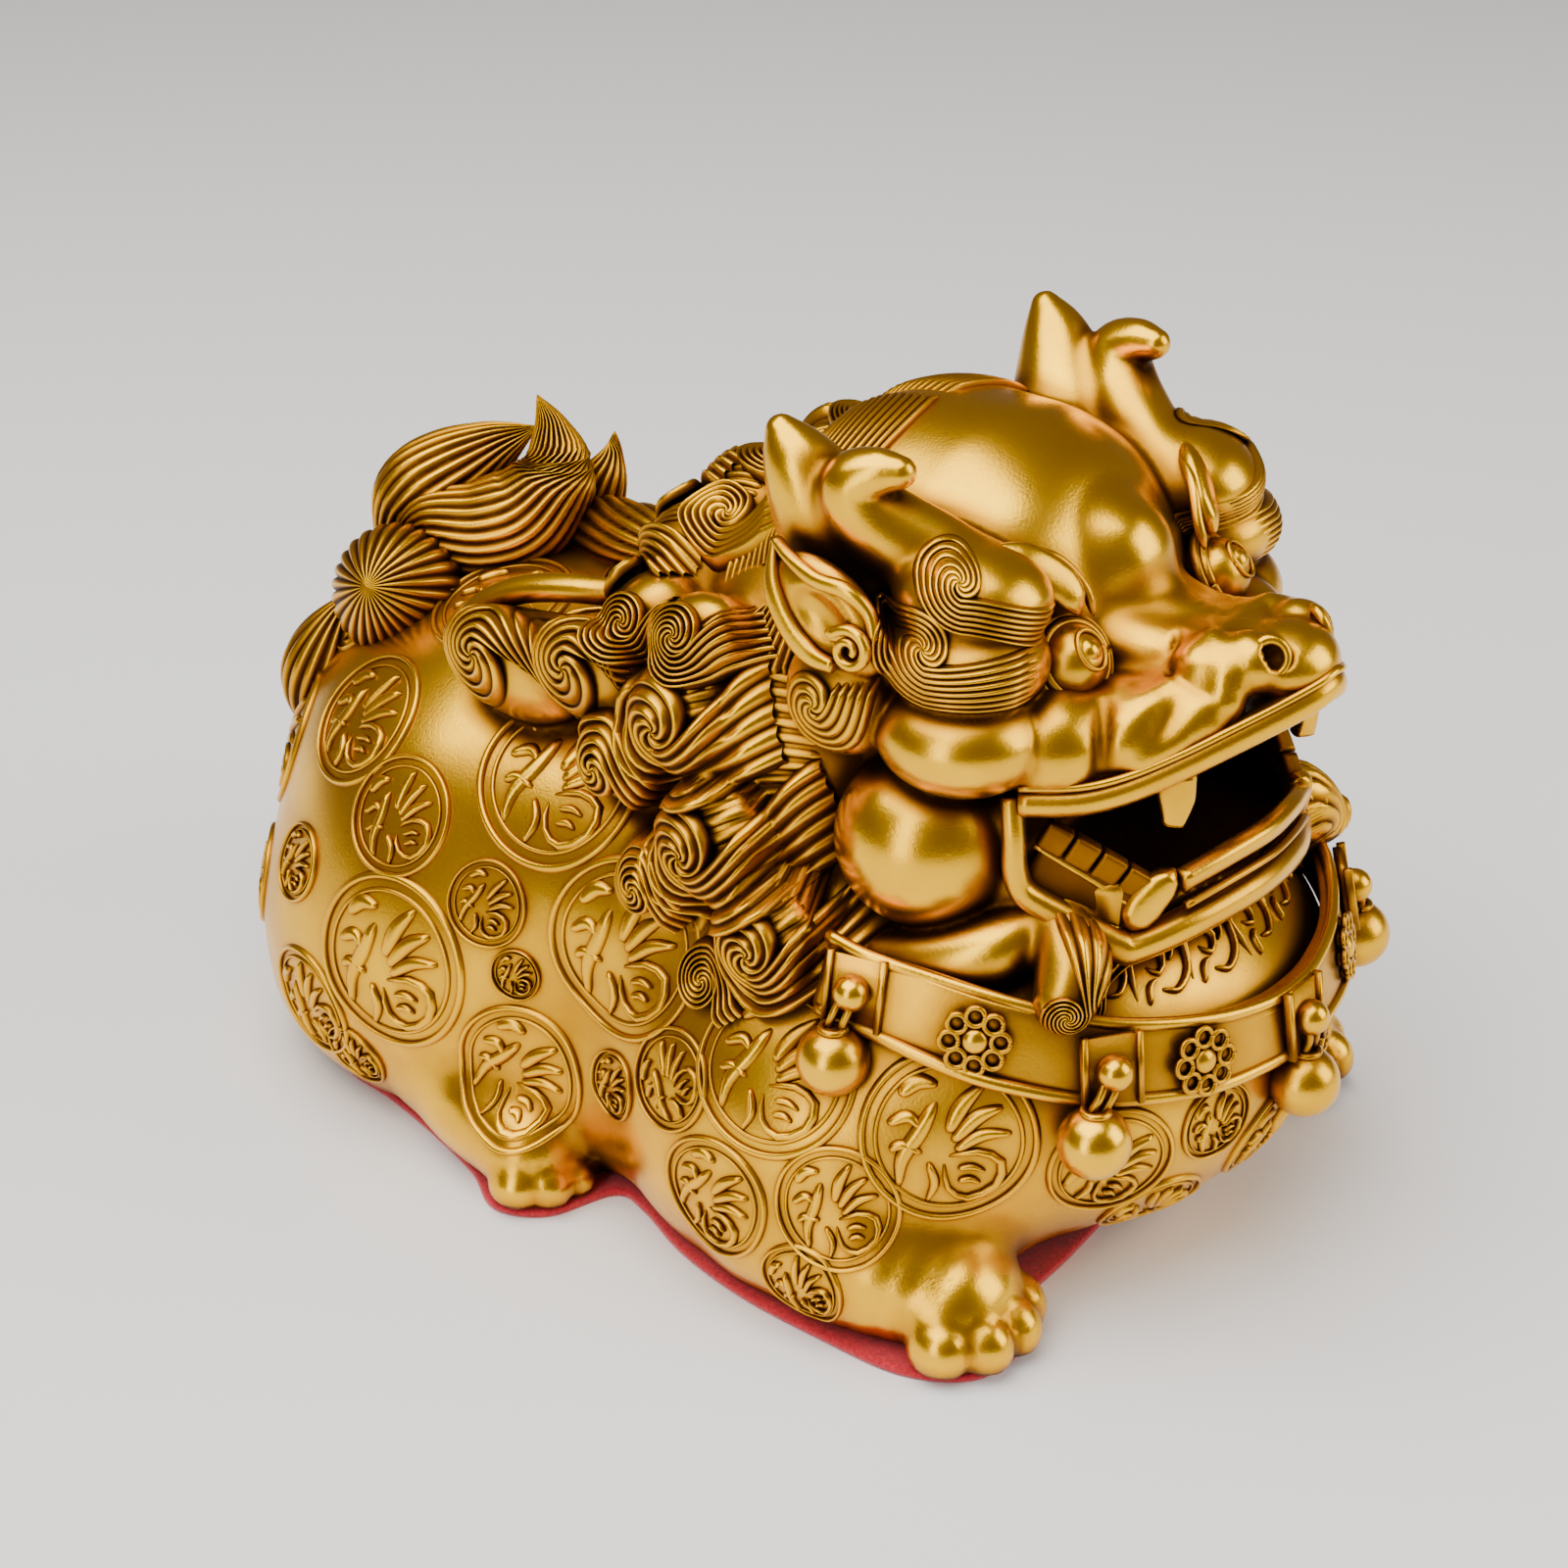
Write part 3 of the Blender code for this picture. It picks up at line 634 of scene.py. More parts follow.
maneSheets = [
    # the mane's under layer, combed back from the edge of the face, and the nape's from the crown down
    {"from": [(-38, -54, 112), (-42, -58, 100), (-44, -60, 88), (-46, -64, 76), (-47, -68, 66)],
     "to": [(-44, -26, 104), (-50, -24, 91), (-54, -26, 74), (-55, -36, 58), (-52, -52, 50)], "core": (0, -40, 84),
     "strands": 20, "height": 1.1, "raise": -0.5, "bow": (-4, 0, 6), "steps": 60},
    {"from": [(-0.3, -27, 129), (-14, -27, 126), (-26, -28, 119)],
     "to": [(-0.3, -3, 102), (-12, -3, 102), (-21, -4, 102)], "core": (0, -30, 90),
     "strands": 16, "height": 1.0, "raise": -0.4, "bow": (0, -3, 3)},
]
wingLocks = [
    {**slope, "eye": (-46, 8, 92), "reach": 13.5, "strands": 6, "roots": ((10, -2), (25, 5)), "flow": (-1, 0.5),
     "sense": -1},
    {**slope, "eye": (-47, -13, 96), "reach": 12.5, "strands": 5, "roots": ((9, -4), (16, 5)), "flow": (-1, 0.4),
     "sense": -1},
]
browSlope = {"front": (0.66, -0.75, -0.02), "up": (0.1, 0.1, 0.99), "height": 0.75, "core": 1.8, "dome": 1.0}
browLocks = [
    {**browSlope, "eye": (-38.8, -80.8, 128.7), "reach": 8, "strands": 7, "roots": ((19, -5), (15, -11)),
     "flow": (-1, -0.05)},
    {**browSlope, "eye": (-44, -77.9, 118.7), "reach": 9.5, "strands": 8, "roots": ((19, 0.5), (18, -9)),
     "flow": (-1, -0.05)},
]
discLocks = [
    {**side, "eye": (-48.5, -61.5, 106), "reach": 9.5, "strands": 5, "roots": ((2.6, 4), (9.5, 6)),
     "flow": (-0.1, -1), "height": 0.6, "core": 1.0, "dome": 1.2, "start": -60},
]
beardLocks = [
    {"front": (0.55, -0.83, 0), "up": (0.3, 0.2, 0.93), "eye": (-40, -104.5, 61.5), "reach": 6.5, "strands": 6,
     "roots": ((-4, 17), (15, 11)), "flow": (0.5, -1), "start": 10, "height": 1.2, "dome": 1.6, "raise": 0.8},
]


def makeHair(name, locks, forms):
    parts = [curlLock(form, forms) for form in locks]
    parts += [mirrorPart(part) for part in parts]
    return makePiece(name, *joinParts(parts)[:2], brass, joinParts(parts)[2])


print("combing hair")
allForms = bodyForms + headForms
makeHair("maneLocks", maneLocks, bodyForms)
makeHair("napeCurls", napeLocks, allForms)
bareForms = [form for form in allForms if form not in hornForms]
parts = bothSides([combSheet(form, bareForms) for form in combSheets])
makePiece("crownHair", *joinParts(parts)[:2], brass, joinParts(parts)[2])
parts = bothSides([combSheet(form, bodyForms) for form in maneSheets])
makePiece("maneUnderLayer", *joinParts(parts)[:2], brass, joinParts(parts)[2])
makeHair("wingScrolls", wingLocks, allForms)
makeHair("browTufts", browLocks, allForms)
makeHair("earDiscs", discLocks, allForms)
makeHair("beardCurls", beardLocks, allForms)


# tail: tufts with strands along them

def ridgedSweep(line, count, depth, twist=0.0, flat=(1, 1), up=(0, 0, 1), around=None, along=6, power=0.8):
    # a tube along a smooth line: the radius times one less a row of shallow grooves that may wind round it
    path = smoothLine(line, along)
    centre, radius = path[:, :3], path[:, 3]
    tangent = np.gradient(centre, axis=0)
    tangent /= np.linalg.norm(tangent, axis=1)[:, None]
    across = np.cross(tangent, np.array(up, float))
    across /= np.linalg.norm(across, axis=1)[:, None]
    upward = np.cross(across, tangent)
    around = around or count * 6
    angle = np.linspace(0, 2 * np.pi, around, endpoint=False)[None]
    s = np.linspace(0, 1, len(path))[:, None]
    ridge = np.abs(np.sin(0.5 * count * (angle + twist * 2 * np.pi * s))) ** power
    r = radius[:, None] - np.minimum(depth, radius[:, None] * 0.35) * (1 - ridge)
    points = centre[:, None] + (r * np.cos(angle) * flat[0])[..., None] * across[:, None]
    points = points + (r * np.sin(angle) * flat[1])[..., None] * upward[:, None]
    faces = gridFaces(len(path), around, closed=True)
    points = np.vstack([points.reshape(-1, 3), centre[:1], centre[-1:]])
    ring = np.arange(around)
    after = (ring + 1) % around
    last = (len(path) - 1) * around
    first = len(path) * around
    startCap = np.stack([np.full(around, first), after, ring, ring], 1)
    endCap = np.stack([np.full(around, first + 1), last + ring, last + after, last + after], 1)
    # painted shade with the antiquing: the tail is painted darker down its grooves
    recess = np.append(((1 - ridge) * 0.9 + 0 * s).ravel(), [0.2, 0.2])
    return points, faces, recess, startCap, endCap


def sweepPart(*args, **kw):
    # the tube with both ends drawn to a point, so it closes
    points, faces, recess, startCap, endCap = ridgedSweep(*args, **kw)
    around = startCap.shape[0]
    ends = np.vstack([startCap, endCap])
    return points, np.vstack([faces[:, ::-1], ends[:, ::-1]]), recess


def bud(at, end, radius, count, depth=0.8, swell=0.55, twist=0.0):
    # a round tuft: from one pole to the other the radius follows a half circle, fuller at swell
    t = np.linspace(0, 1, 15)
    at, end = np.array(at, float), np.array(end, float)
    profile = radius * np.sin(np.pi * t ** (math.log(0.5) / math.log(swell))) ** 0.62
    profile[0] = profile[-1] = 0.05
    line = np.column_stack([at + (end - at) * t[:, None], profile])
    return sweepPart(line, count, depth, twist, along=2, up=(0.3, 0.5, 0.8))


tailParts = [
    sweepPart([(-18, 59, 90, 2), (-13.5, 55, 92.5, 7.5), (-8, 45.5, 93, 9.8), (-3, 38.5, 97, 9.8), (0, 35.2, 105, 7.4),
               (0.6, 36.6, 112.5, 3.6), (0, 39.2, 118.5, 0.2)], 24, 1.1, 0.06),
    sweepPart([(-13, 65, 86, 4), (-9, 61.5, 94.5, 9.6), (-4, 57, 100, 9.2), (2, 51.6, 105, 5.2), (7, 46, 108.6, 0.3)],
              22, 1.0, 0.05),
    sweepPart([(5, 39, 84, 4), (8.5, 36, 92, 6), (11.6, 34.2, 99.5, 4.8), (13.4, 33.2, 104.8, 2), (13.6, 32.8, 108.8, 0.2)],
              14, 0.9, 0.1),
    sweepPart([(10, 40, 84, 5), (6, 31, 91, 7.4), (2, 20, 95, 7), (0, 9, 98, 5.4), (0, -1, 100, 1)], 16, 1.0, 0.35),
    bud((-35.4, 49.6, 90.4), (-14.6, 56.4, 79.6), 12.6, 26, 1.0),
    bud((-24, 66, 80), (-28, 74, 52), 9, 18, 0.9),
    bud((33, 50, 89), (14.6, 58, 78), 12.4, 26, 1.0),
    bud((24, 66, 78), (27, 74, 54), 8.5, 18, 0.9),
    bud((-6, 70, 88), (4, 40, 76), 15.5, 28, 1.0),
]
print("shaping tail")
points, faces, recess = joinParts(tailParts)
makePiece("tailTufts", points, faces, brass, recess)


# bands, rims and bars

def barPart(line, width, thick, face, corner=4.0, along=6, around=20, taperEnds=False, antiquingAndShade=0.1):
    # a bar along a smooth line: its section is a rounded box, |a|^n + |b|^n = 1, flat side towards face
    path = smoothLine(np.asarray(line, float), along)[:, :3]
    faceLine = np.asarray(face, float)
    if faceLine.ndim == 2:
        faceLine = smoothLine(faceLine, along)
    tangent = np.gradient(path, axis=0)
    tangent /= np.linalg.norm(tangent, axis=1)[:, None]
    across = np.cross(tangent, np.broadcast_to(faceLine, path.shape))
    across /= np.linalg.norm(across, axis=1)[:, None]
    outward = np.cross(across, tangent)
    angle = np.linspace(0, 2 * np.pi, around, endpoint=False)[None]
    a = np.sign(np.cos(angle)) * np.abs(np.cos(angle)) ** (2 / corner)
    b = np.sign(np.sin(angle)) * np.abs(np.sin(angle)) ** (2 / corner)
    s = np.linspace(0, 1, len(path))[:, None]
    scale = np.sqrt(np.clip(np.minimum(s, 1 - s) * 6, 0.02, 1)) if taperEnds else 1 + 0 * s
    w = np.interp(s, np.linspace(0, 1, len(np.atleast_1d(width))), np.atleast_1d(width))
    points = path[:, None] + (a * w * 0.5 * scale)[..., None] * across[:, None]
    points = points + (b * thick * 0.5 * scale)[..., None] * outward[:, None]
    faces = gridFaces(len(path), around, closed=True)
    first, last = len(path) * around, (len(path) - 1) * around
    points = np.vstack([points.reshape(-1, 3), path[:1], path[-1:]])
    ring = np.arange(around)
    after = (ring + 1) % around
    ends = np.vstack([
        np.stack([np.full(around, first), after, ring, ring], 1),
        np.stack([np.full(around, first + 1), last + ring, last + after, last + after], 1),
    ])
    # the last value paints the whole bar darker: brown antiquing together with painted shade
    return points, np.vstack([faces, ends])[:, ::-1], np.full(len(points), antiquingAndShade)


def ballPart(at, radius, squash=(1, 1, 1), around=28, antiquingAndShade=0.0):
    # a globe: rings of a circle whose radius follows the sine of the height angle
    line = [(0, 0, -math.cos(t), math.sin(t)) for t in np.linspace(0.02, math.pi - 0.02, around // 2)]
    line = np.array(line)
    angle = np.linspace(0, 2 * np.pi, around, endpoint=False)[None]
    points = np.stack([
        line[:, 3:] * np.cos(angle), line[:, 3:] * np.sin(angle), line[:, 2:3] + 0 * angle,
    ], -1).reshape(-1, 3) * np.array(squash) * radius + np.array(at, float)
    faces = gridFaces(len(line), around, closed=True)
    ring = np.arange(around)
    after = (ring + 1) % around
    last = (len(line) - 1) * around
    points = np.vstack([points, np.array(at) - (0, 0, radius * squash[2]), np.array(at) + (0, 0, radius * squash[2])])
    ends = np.vstack([
        np.stack([np.full(around, len(points) - 2), after, ring, ring], 1),
        np.stack([np.full(around, len(points) - 1), last + ring, last + after, last + after], 1),
    ])
    # the last value paints the whole ball darker: brown antiquing together with painted shade
    return points, np.vstack([faces, ends]), np.full(len(points), antiquingAndShade)


collar = {
    "top": [(-50, -66, 67), (-50, -74, 66), (-46.5, -84, 64), (-41.5, -96, 61.5), (-33.5, -107.5, 58.5),
            (-21, -116, 56), (-9, -120, 54.3), (0, -121, 54)],
    "bottom": [(-53, -66, 55), (-53, -74, 54.5), (-51, -88, 52), (-46.5, -98, 49.5), (-37, -109, 46.5),
               (-23, -118.3, 44.8), (-10, -122.2, 44.2), (0, -123, 44)],
    "rim": 2.2, "thick": 3.0,
}


def fullRound(line):
    # a right-hand line from the nape to the chest's middle, carried on round the left
    line = np.asarray(line, float)
    return np.vstack([line, line[-2::-1] * (-1, 1, 1)])


def collarParts():
    top, bottom = fullRound(collar["top"]), fullRound(collar["bottom"])
    middle = (top + bottom) / 2
    out = middle - (0, -60, 0)
    out[:, 2] = 14
    out /= np.linalg.norm(out, axis=1)[:, None]
    height = np.linalg.norm(top - bottom, axis=1).mean()
    parts = [barPart(middle, height, collar["thick"], out, corner=7, around=28, antiquingAndShade=0.12)]
    for edge in (top, bottom):
        parts.append(barPart(edge + out * 1.1, collar["rim"], collar["rim"], out, corner=2, antiquingAndShade=0.0))
    parts.append(barPart(top * 0.82 + bottom * 0.18 + out * 1.0, 1.1, 1.1, out, corner=2, antiquingAndShade=0.1))
    return parts


def frameAt(out, up=(0, 0, 1)):
    # right, up and outward directions of a place whose outward direction is known
    out = np.array(out, float) / np.linalg.norm(out)
    right = np.cross(np.array(up, float), out)
    right /= np.linalg.norm(right)
    return np.array([right, np.cross(out, right), out])


def turned(part, axes, at):
    # a part made about the origin, stood in a place's own directions
    return part[0] @ axes + np.array(at, float), part[1], part[2]


def bellParts(stud, bell, out):
    # a square plate with a stud, two straps down from it, and the round bell on their end
    axes = frameAt(out)
    stud, bell = np.array(stud, float), np.array(bell, float)
    out = axes[2]
    plate = [(0, -5.6, 0.4), (0, 5.6, 0.4)]
    parts = [turned(barPart(plate, 9.0, 1.6, (0, 0, 1), corner=9, along=2, antiquingAndShade=0.1), axes, stud)]
    for x in (-4.6, 4.6):
        edge = [(x, -6, 1.2), (x, 6, 1.2)]
        parts.append(turned(barPart(edge, 1.1, 1.6, (0, 0, 1), corner=4, along=2), axes, stud))
    parts.append(ballPart(stud + out * 2.4, 3.0))
    for x in (-1.1, 1.1):
        start, end = stud + axes[0] * x + out * 2.2, bell + axes[0] * x + (0, 0, 5.2)
        middle = (start + end) / 2 + out * 0.8
        parts.append(barPart([start, middle, end], 1.3, 1.4, out, corner=2.5, around=12))
    parts.append(ballPart(bell, 6.0, around=36))
    collarRing = [bell + 2.0 * (math.cos(t) * axes[0] + math.sin(t) * np.cross((0, 0, 1), axes[0])) + (0, 0, 5.8)
                  for t in np.linspace(0, 2 * math.pi, 9)]
    parts.append(barPart(collarRing, 1.3, 1.3, (0, 0, 1), corner=2, around=10))
    return parts


def rosetteParts(at, out, radius=6.0, petals=8):
    # a round boss in a ring of petals, each a small rounded cup with a raised edge
    axes = frameAt(out)
    parts = [turned(ballPart((0, 0, 0.6), radius * 0.36, (1, 1, 0.6)), axes, at)]
    for k in range(petals):
        a = 2 * math.pi * k / petals
        centre = np.array([math.cos(a), math.sin(a), 0]) * radius * 0.68
        ring = [centre + np.array([math.cos(b), math.sin(b), 0]) * radius * 0.26 + (0, 0, 0.9)
                for b in np.linspace(0, 2 * math.pi, 9)]
        parts.append(turned(barPart(ring, 0.9, 0.9, (0, 0, 1), corner=2, around=8, along=2), axes, at))
        # painted shade with the antiquing: the petals' cups are painted darker
        parts.append(turned(ballPart(centre, radius * 0.24, (1, 1, 0.45), around=12, antiquingAndShade=0.3), axes, at))
    return parts


def outOfNeck(at):
    return np.array([at[0], at[1] + 62, 12.0])


wingRim = [(-30, -24, 107), (-36, -10, 106), (-38.5, 0, 105), (-40, 9, 102.5), (-42, 16, 98), (-44, 20.5, 92)]
parts = bothSides([barPart(wingRim, [2, 4.6, 5, 5, 4, 2.4], 4.6, (-0.6, 0.1, 0.8), corner=2.2, taperEnds=True, antiquingAndShade=0.0)])
makePiece("wingRims", *joinParts(parts)[:2], brass, joinParts(parts)[2])

print("making collar")
studs = [((-52.5, -73, 60.5), (-57.5, -72, 49.5)), ((-36.5, -110.5, 52.5), (-41.5, -111.5, 41.5))]
parts = collarParts()
for stud, bell in studs:
    parts += bothSides(bellParts(stud, bell, outOfNeck(stud)))
parts += bellParts((0, -123.5, 49.5), (0, -125.5, 37.5), (0, -1, 0.15))
makePiece("collarBand", *joinParts(parts)[:2], brass, joinParts(parts)[2])
parts = []
for at in ((-48.5, -93, 56.8), (-22.5, -119, 50.3)):
    parts += bothSides(rosetteParts(at, outOfNeck(at)))
makePiece("collarRosettes", *joinParts(parts)[:2], brass, joinParts(parts)[2])


# the face: eyes, lips, teeth, jaw and ears

def ringLine(at, out, radius, squash=1.0, count=16, up=(0, 0, 1)):
    # a closed ring's middle line about a place, in the plane that faces out
    axes = frameAt(out, up)
    angle = np.linspace(0, 2 * np.pi, count + 1)[:, None]
    return np.array(at, float) + radius * (np.cos(angle) * squash * axes[0] + np.sin(angle) * axes[1])


def eyeParts(at, out, gaze):
    # a ball in a lid of two rings, with an oval ring for the iris
    at, out, gaze = (np.array(v, float) for v in (at, out, gaze))
    out, gaze = out / np.linalg.norm(out), gaze / np.linalg.norm(gaze)
    ball = at - out * 1.8
    parts = [ballPart(ball, 5.9, around=44)]
    parts.append(barPart(ringLine(at - out * 0.8, out, 6.0), 1.4, 2.0, out, corner=2, along=3, around=12, antiquingAndShade=0.05))
    parts.append(barPart(ringLine(at - out * 1.6, out, 7.2), 1.2, 1.8, out, corner=2, along=3, around=12, antiquingAndShade=0.15))
    parts.append(barPart(ringLine(ball + gaze * 5.3, gaze, 3.3, 0.74), 0.7, 1.0, gaze, corner=2, along=3, around=10))
    parts.append(ballPart(ball + gaze * 4.3, 2.2, (1, 1, 1), around=20))
    return parts


def spiralLine(at, out, start, end, turns, begin, count=26, up=(0, 0, 1)):
    # the middle line of a curl whose radius runs evenly from start to end
    axes = frameAt(out, up)
    s = np.linspace(0, 1, count)[:, None]
    angle = math.radians(begin) + s * turns * 2 * math.pi
    radius = start + (end - start) * s
    return np.array(at, float) + radius * (np.cos(angle) * axes[0] + np.sin(angle) * axes[1])


upperLip = [(-35.4, -90.8, 92.6), (-30.5, -98.4, 93.2), (-25.8, -104, 95), (-20.4, -109.8, 98.4),
            (-14.8, -115, 102), (-9, -119.8, 105.4), (-3.5, -123.2, 108), (0, -124, 109)]
jawRim = [(-34.6, -89, 93), (-35.6, -90.4, 87), (-35.9, -91, 81.5), (-35.2, -92.2, 77.6), (-32.9, -95.8, 74.6),
          (-29.8, -100.6, 71.4), (-27.2, -105, 68.6), (-24.8, -106.9, 68), (-14, -112, 70.4), (0, -114.4, 71.6)]
lipBar = [(-18.6, -110.6, 78.2), (-10, -113.4, 80), (0, -115, 80.8)]
toothRow = [(-32.2, -93.4, 87.2), (-27.6, -100.6, 82.4), (-22.6, -107.2, 77.2)]
gum = [(-33.2, -92, 81.5), (-28.6, -99.2, 76.8), (-24.8, -104.8, 72.6)]
ledge = [(-33.4, -92.8, 85), (-29.2, -99.8, 80), (-25.2, -105.6, 75.2)]


def mouthParts():
    parts = []
    outward = np.array([-0.8, -0.6, 0.0])
    whole = fullRound(upperLip)
    face = whole - (0, -70, 0)
    face[:, 2] = 12
    inward = -face / np.linalg.norm(face, axis=1)[:, None]
    parts.append(barPart(whole + inward, [5.0, 5.0, 5.4, 5.0, 5.0], 5.4, face, corner=2.1, around=24, antiquingAndShade=0.02))
    upperLine = whole + (0, 0, 2.7) - inward * 0.9
    parts.append(barPart(upperLine, 1.3, 1.4, face, corner=2, around=10, antiquingAndShade=0.0))
    frontFace = np.array([0, -1, -0.15])
    rim = fullRound(jawRim)
    parts.append(barPart(rim, [3.6, 4.4, 5.4, 5.4, 5.4, 4.4, 3.6], 5.4, rim * (1, 1, 0) - (0, -68, 6), corner=2.3, along=8,
                         around=24, antiquingAndShade=0.02))
    parts.append(barPart(fullRound(lipBar), 3.6, 3.4, frontFace, corner=3, antiquingAndShade=0.0))
    parts.append(barPart(fullRound(lipBar) + (0, -1.2, -4.0), 1.2, 1.6, frontFace, corner=2, antiquingAndShade=0.1))
    half = [barPart(ledge, 0.9, 1.4, outward, corner=3, antiquingAndShade=0.0)]
    row = smoothLine(np.array(toothRow), 20)
    for k in range(4):
        stretch = row[int(k * len(row) / 4) : int((k + 1) * len(row) / 4)]
        tooth = np.vstack([stretch[0] * 0.96 + stretch[-1] * 0.04, stretch[len(stretch) // 2], stretch[-1]])
        # painted shade with the antiquing: the teeth and the gum deep in the mouth are painted darker
        half.append(barPart(tooth, 4.8, 3.0, outward, corner=6, along=3, antiquingAndShade=0.42))
    half.append(barPart(gum, 9.0, 3.0, outward, corner=5, antiquingAndShade=0.55))
    half.append(barPart([(-19.6, -109.2, 97), (-19.6, -109.6, 93), (-19.9, -109.4, 88.8)], [6.6, 5.8, 3.4], 3.8, outward,
                        corner=3.4, antiquingAndShade=0.02))
    canine = [(-25.4, -105.4, 70.5), (-23.6, -107, 74.5), (-21.4, -108.8, 78), (-19.4, -110, 80.6)]
    half.append(barPart(canine, [4.4, 6.4, 5.6, 2.2], 4.2, outward, corner=2.2, antiquingAndShade=0.02, taperEnds=True))
    return parts + bothSides(half)


def browBand():
    line = [(-29.5, -77, 128.4), (-25, -83, 127.6), (-21, -87.6, 123.6), (-19.5, -90.6, 118.6)]
    out = (-0.45, -0.6, 0.66)
    return [barPart(line, [2.2, 6.2, 6.4, 3.2], 3.4, out, corner=2.6, antiquingAndShade=0.0, taperEnds=True),
            barPart([(-24, -80.6, 129), (-19.6, -85.8, 127), (-16.6, -89.2, 122), (-16.4, -91, 117.4)], 1.6, 1.8, out,
                    corner=2, antiquingAndShade=0.05, taperEnds=True)]


def earParts():
    # a rim from the tip over the top and down the front into the lobe's curl
    out = (-1, -0.1, 0.1)
    rim = [(-44, -50, 129), (-46, -54.5, 127.6), (-47, -60, 126), (-46.6, -65.4, 125.4), (-45.6, -69, 122.4),
           (-46, -70.6, 118.4)]
    curl = spiralLine((-48.4, -67.6, 116.6), out, 3.6, 0.8, -1.5, 150)
    lower = [(-44, -50, 129), (-47.4, -52, 123), (-48.6, -56, 117.4), (-48.8, -60.6, 114), (-48.8, -65, 113.4)]
    return [barPart(rim, [1.4, 2.6, 2.6, 2.0], 2.4, out, corner=2.4, antiquingAndShade=0.0),
            barPart(lower, [1.2, 3.4, 3.6, 2.2], 2.2, out, corner=2.4, antiquingAndShade=0.0),
            barPart(np.vstack([rim[-1:], curl]), [2.0, 1.8, 1.4], 2.0, out, corner=2.2, along=3, around=14, antiquingAndShade=0.0)]


def noseParts():
    curl = spiralLine((-7.8, -117.2, 115.2), (-0.75, -0.55, 0.35), 3.3, 1.4, 0.9, -60)
    return [barPart(curl, [1.4, 1.8, 1.4], 1.8, (-0.75, -0.55, 0.35), corner=2, along=3, around=12, antiquingAndShade=0.0)]


print("making face")
parts = mouthParts() + bothSides(eyeParts((-21.8, -91.8, 112.4), (-0.25, -0.8, 0.5), (-0.15, -0.75, 0.62)))
parts += bothSides(browBand() + earParts() + noseParts())
makePiece("faceDetails", *joinParts(parts)[:2], brass, joinParts(parts)[2])


# medallions on the hide: two rings and a few brush strokes that spell nothing

strokes = [
    # in a circle of radius 1: points of the stroke, its greatest width
    ([(-0.62, 0.42), (-0.45, 0.6), (-0.2, 0.62)], 0.17), ([(-0.2, 0.42), (-0.34, 0.05), (-0.5, -0.3), (-0.5, -0.66)], 0.17),
    ([(-0.72, 0.08), (-0.5, 0.2), (-0.34, 0.1)], 0.13), ([(-0.66, -0.22), (-0.52, -0.14), (-0.28, -0.2)], 0.11),
    ([(-0.02, 0.08), (0.1, 0.42), (0.32, 0.72)], 0.17), ([(0.04, -0.02), (0.28, 0.3), (0.56, 0.48)], 0.16),
    ([(0.08, -0.12), (0.36, 0.1), (0.7, 0.18)], 0.14),
    ([(0.02, -0.2), (0.34, -0.1), (0.62, -0.2), (0.6, -0.52), (0.3, -0.72), (0.06, -0.6), (-0.02, -0.3)], 0.1),
    ([(0.14, -0.34), (0.3, -0.3), (0.46, -0.34)], 0.08), ([(0.16, -0.5), (0.3, -0.46), (0.42, -0.5)], 0.08),
    ([(-0.2, -0.3), (-0.1, -0.55), (-0.16, -0.8)], 0.1),
]
medallions = [
    # place on the right flank, ring radius, turn in degrees
    (-46, -5, 74, 15.5, 0), (-57, 23, 62, 10.5, 20), (-66, 19, 38, 15.5, 0), (-59, 1, 53, 7.5, -10),
    (-57, -27, 53, 15, 5), (-63, -8, 24, 12, -25), (-62, 40, 22, 10.5, 30), (-60, 47, 46, 7, 0),
    (-61, 30, 15, 6.5, 40), (-60, -29, 29, 6, 0), (-63, -43, 37, 8.5, 60), (-60, -62, 45, 14, -5),
    (-67, -55, 21, 10.5, -20), (-63, -77, 26, 10.2, 10), (-52, -91, 39, 14, -5), (-67, -73, 11, 7.5, 30),
    (-33, -109, 33, 10.5, -30), (-17, -119, 36, 7, 10), (-60, -6, 42, 4.5, 0), (-47, 41, 72, 12.5, 15),
    (-35, 68, 55, 13, 0), (-48, 66, 32, 9, 20), (-28, 74, 28, 12, -15), (-8, 82, 50, 9, 10), (-10, 80, 24, 8, 40),
    (-22, 30, 90, 13, 30), (-4, 8, 92, 10, -20), (-25, 60, 76, 7, 0), (0, -121, 25, 10, 0), (-22, -112, 17, 9, 35),
]


def medallionBases(places, forms):
    # each medallion's centre on the skin, with right, up and outward directions
    centres = settle(np.array([m[:3] for m in places], float), forms, 6)
    outs = gradient(centres, forms, 2.0)
    rights = np.cross((0, 0, 1), outs)
    rights /= np.linalg.norm(rights, axis=1)[:, None]
    ups = np.cross(outs, rights)
    turn = np.radians([m[4] for m in places])[:, None]
    return centres, np.cos(turn) * rights + np.sin(turn) * ups, np.cos(turn) * ups - np.sin(turn) * rights, outs


def medallionPatch(flat, height, places, bases, forms):
    # one flat pattern in a unit circle, carried to every medallion and laid on the skin
    centres, rights, ups, outs = bases
    radius = np.array([m[3] for m in places])[:, None, None]
    p = centres[:, None] + radius * (flat[None, :, 0:1] * rights[:, None] + flat[None, :, 1:2] * ups[:, None])
    normal = np.repeat(outs, len(flat), 0)
    lift = np.tile(height, len(places))
    return layOn(p.reshape(-1, 3), normal, forms, lift, rise=3.0, rounds=9)


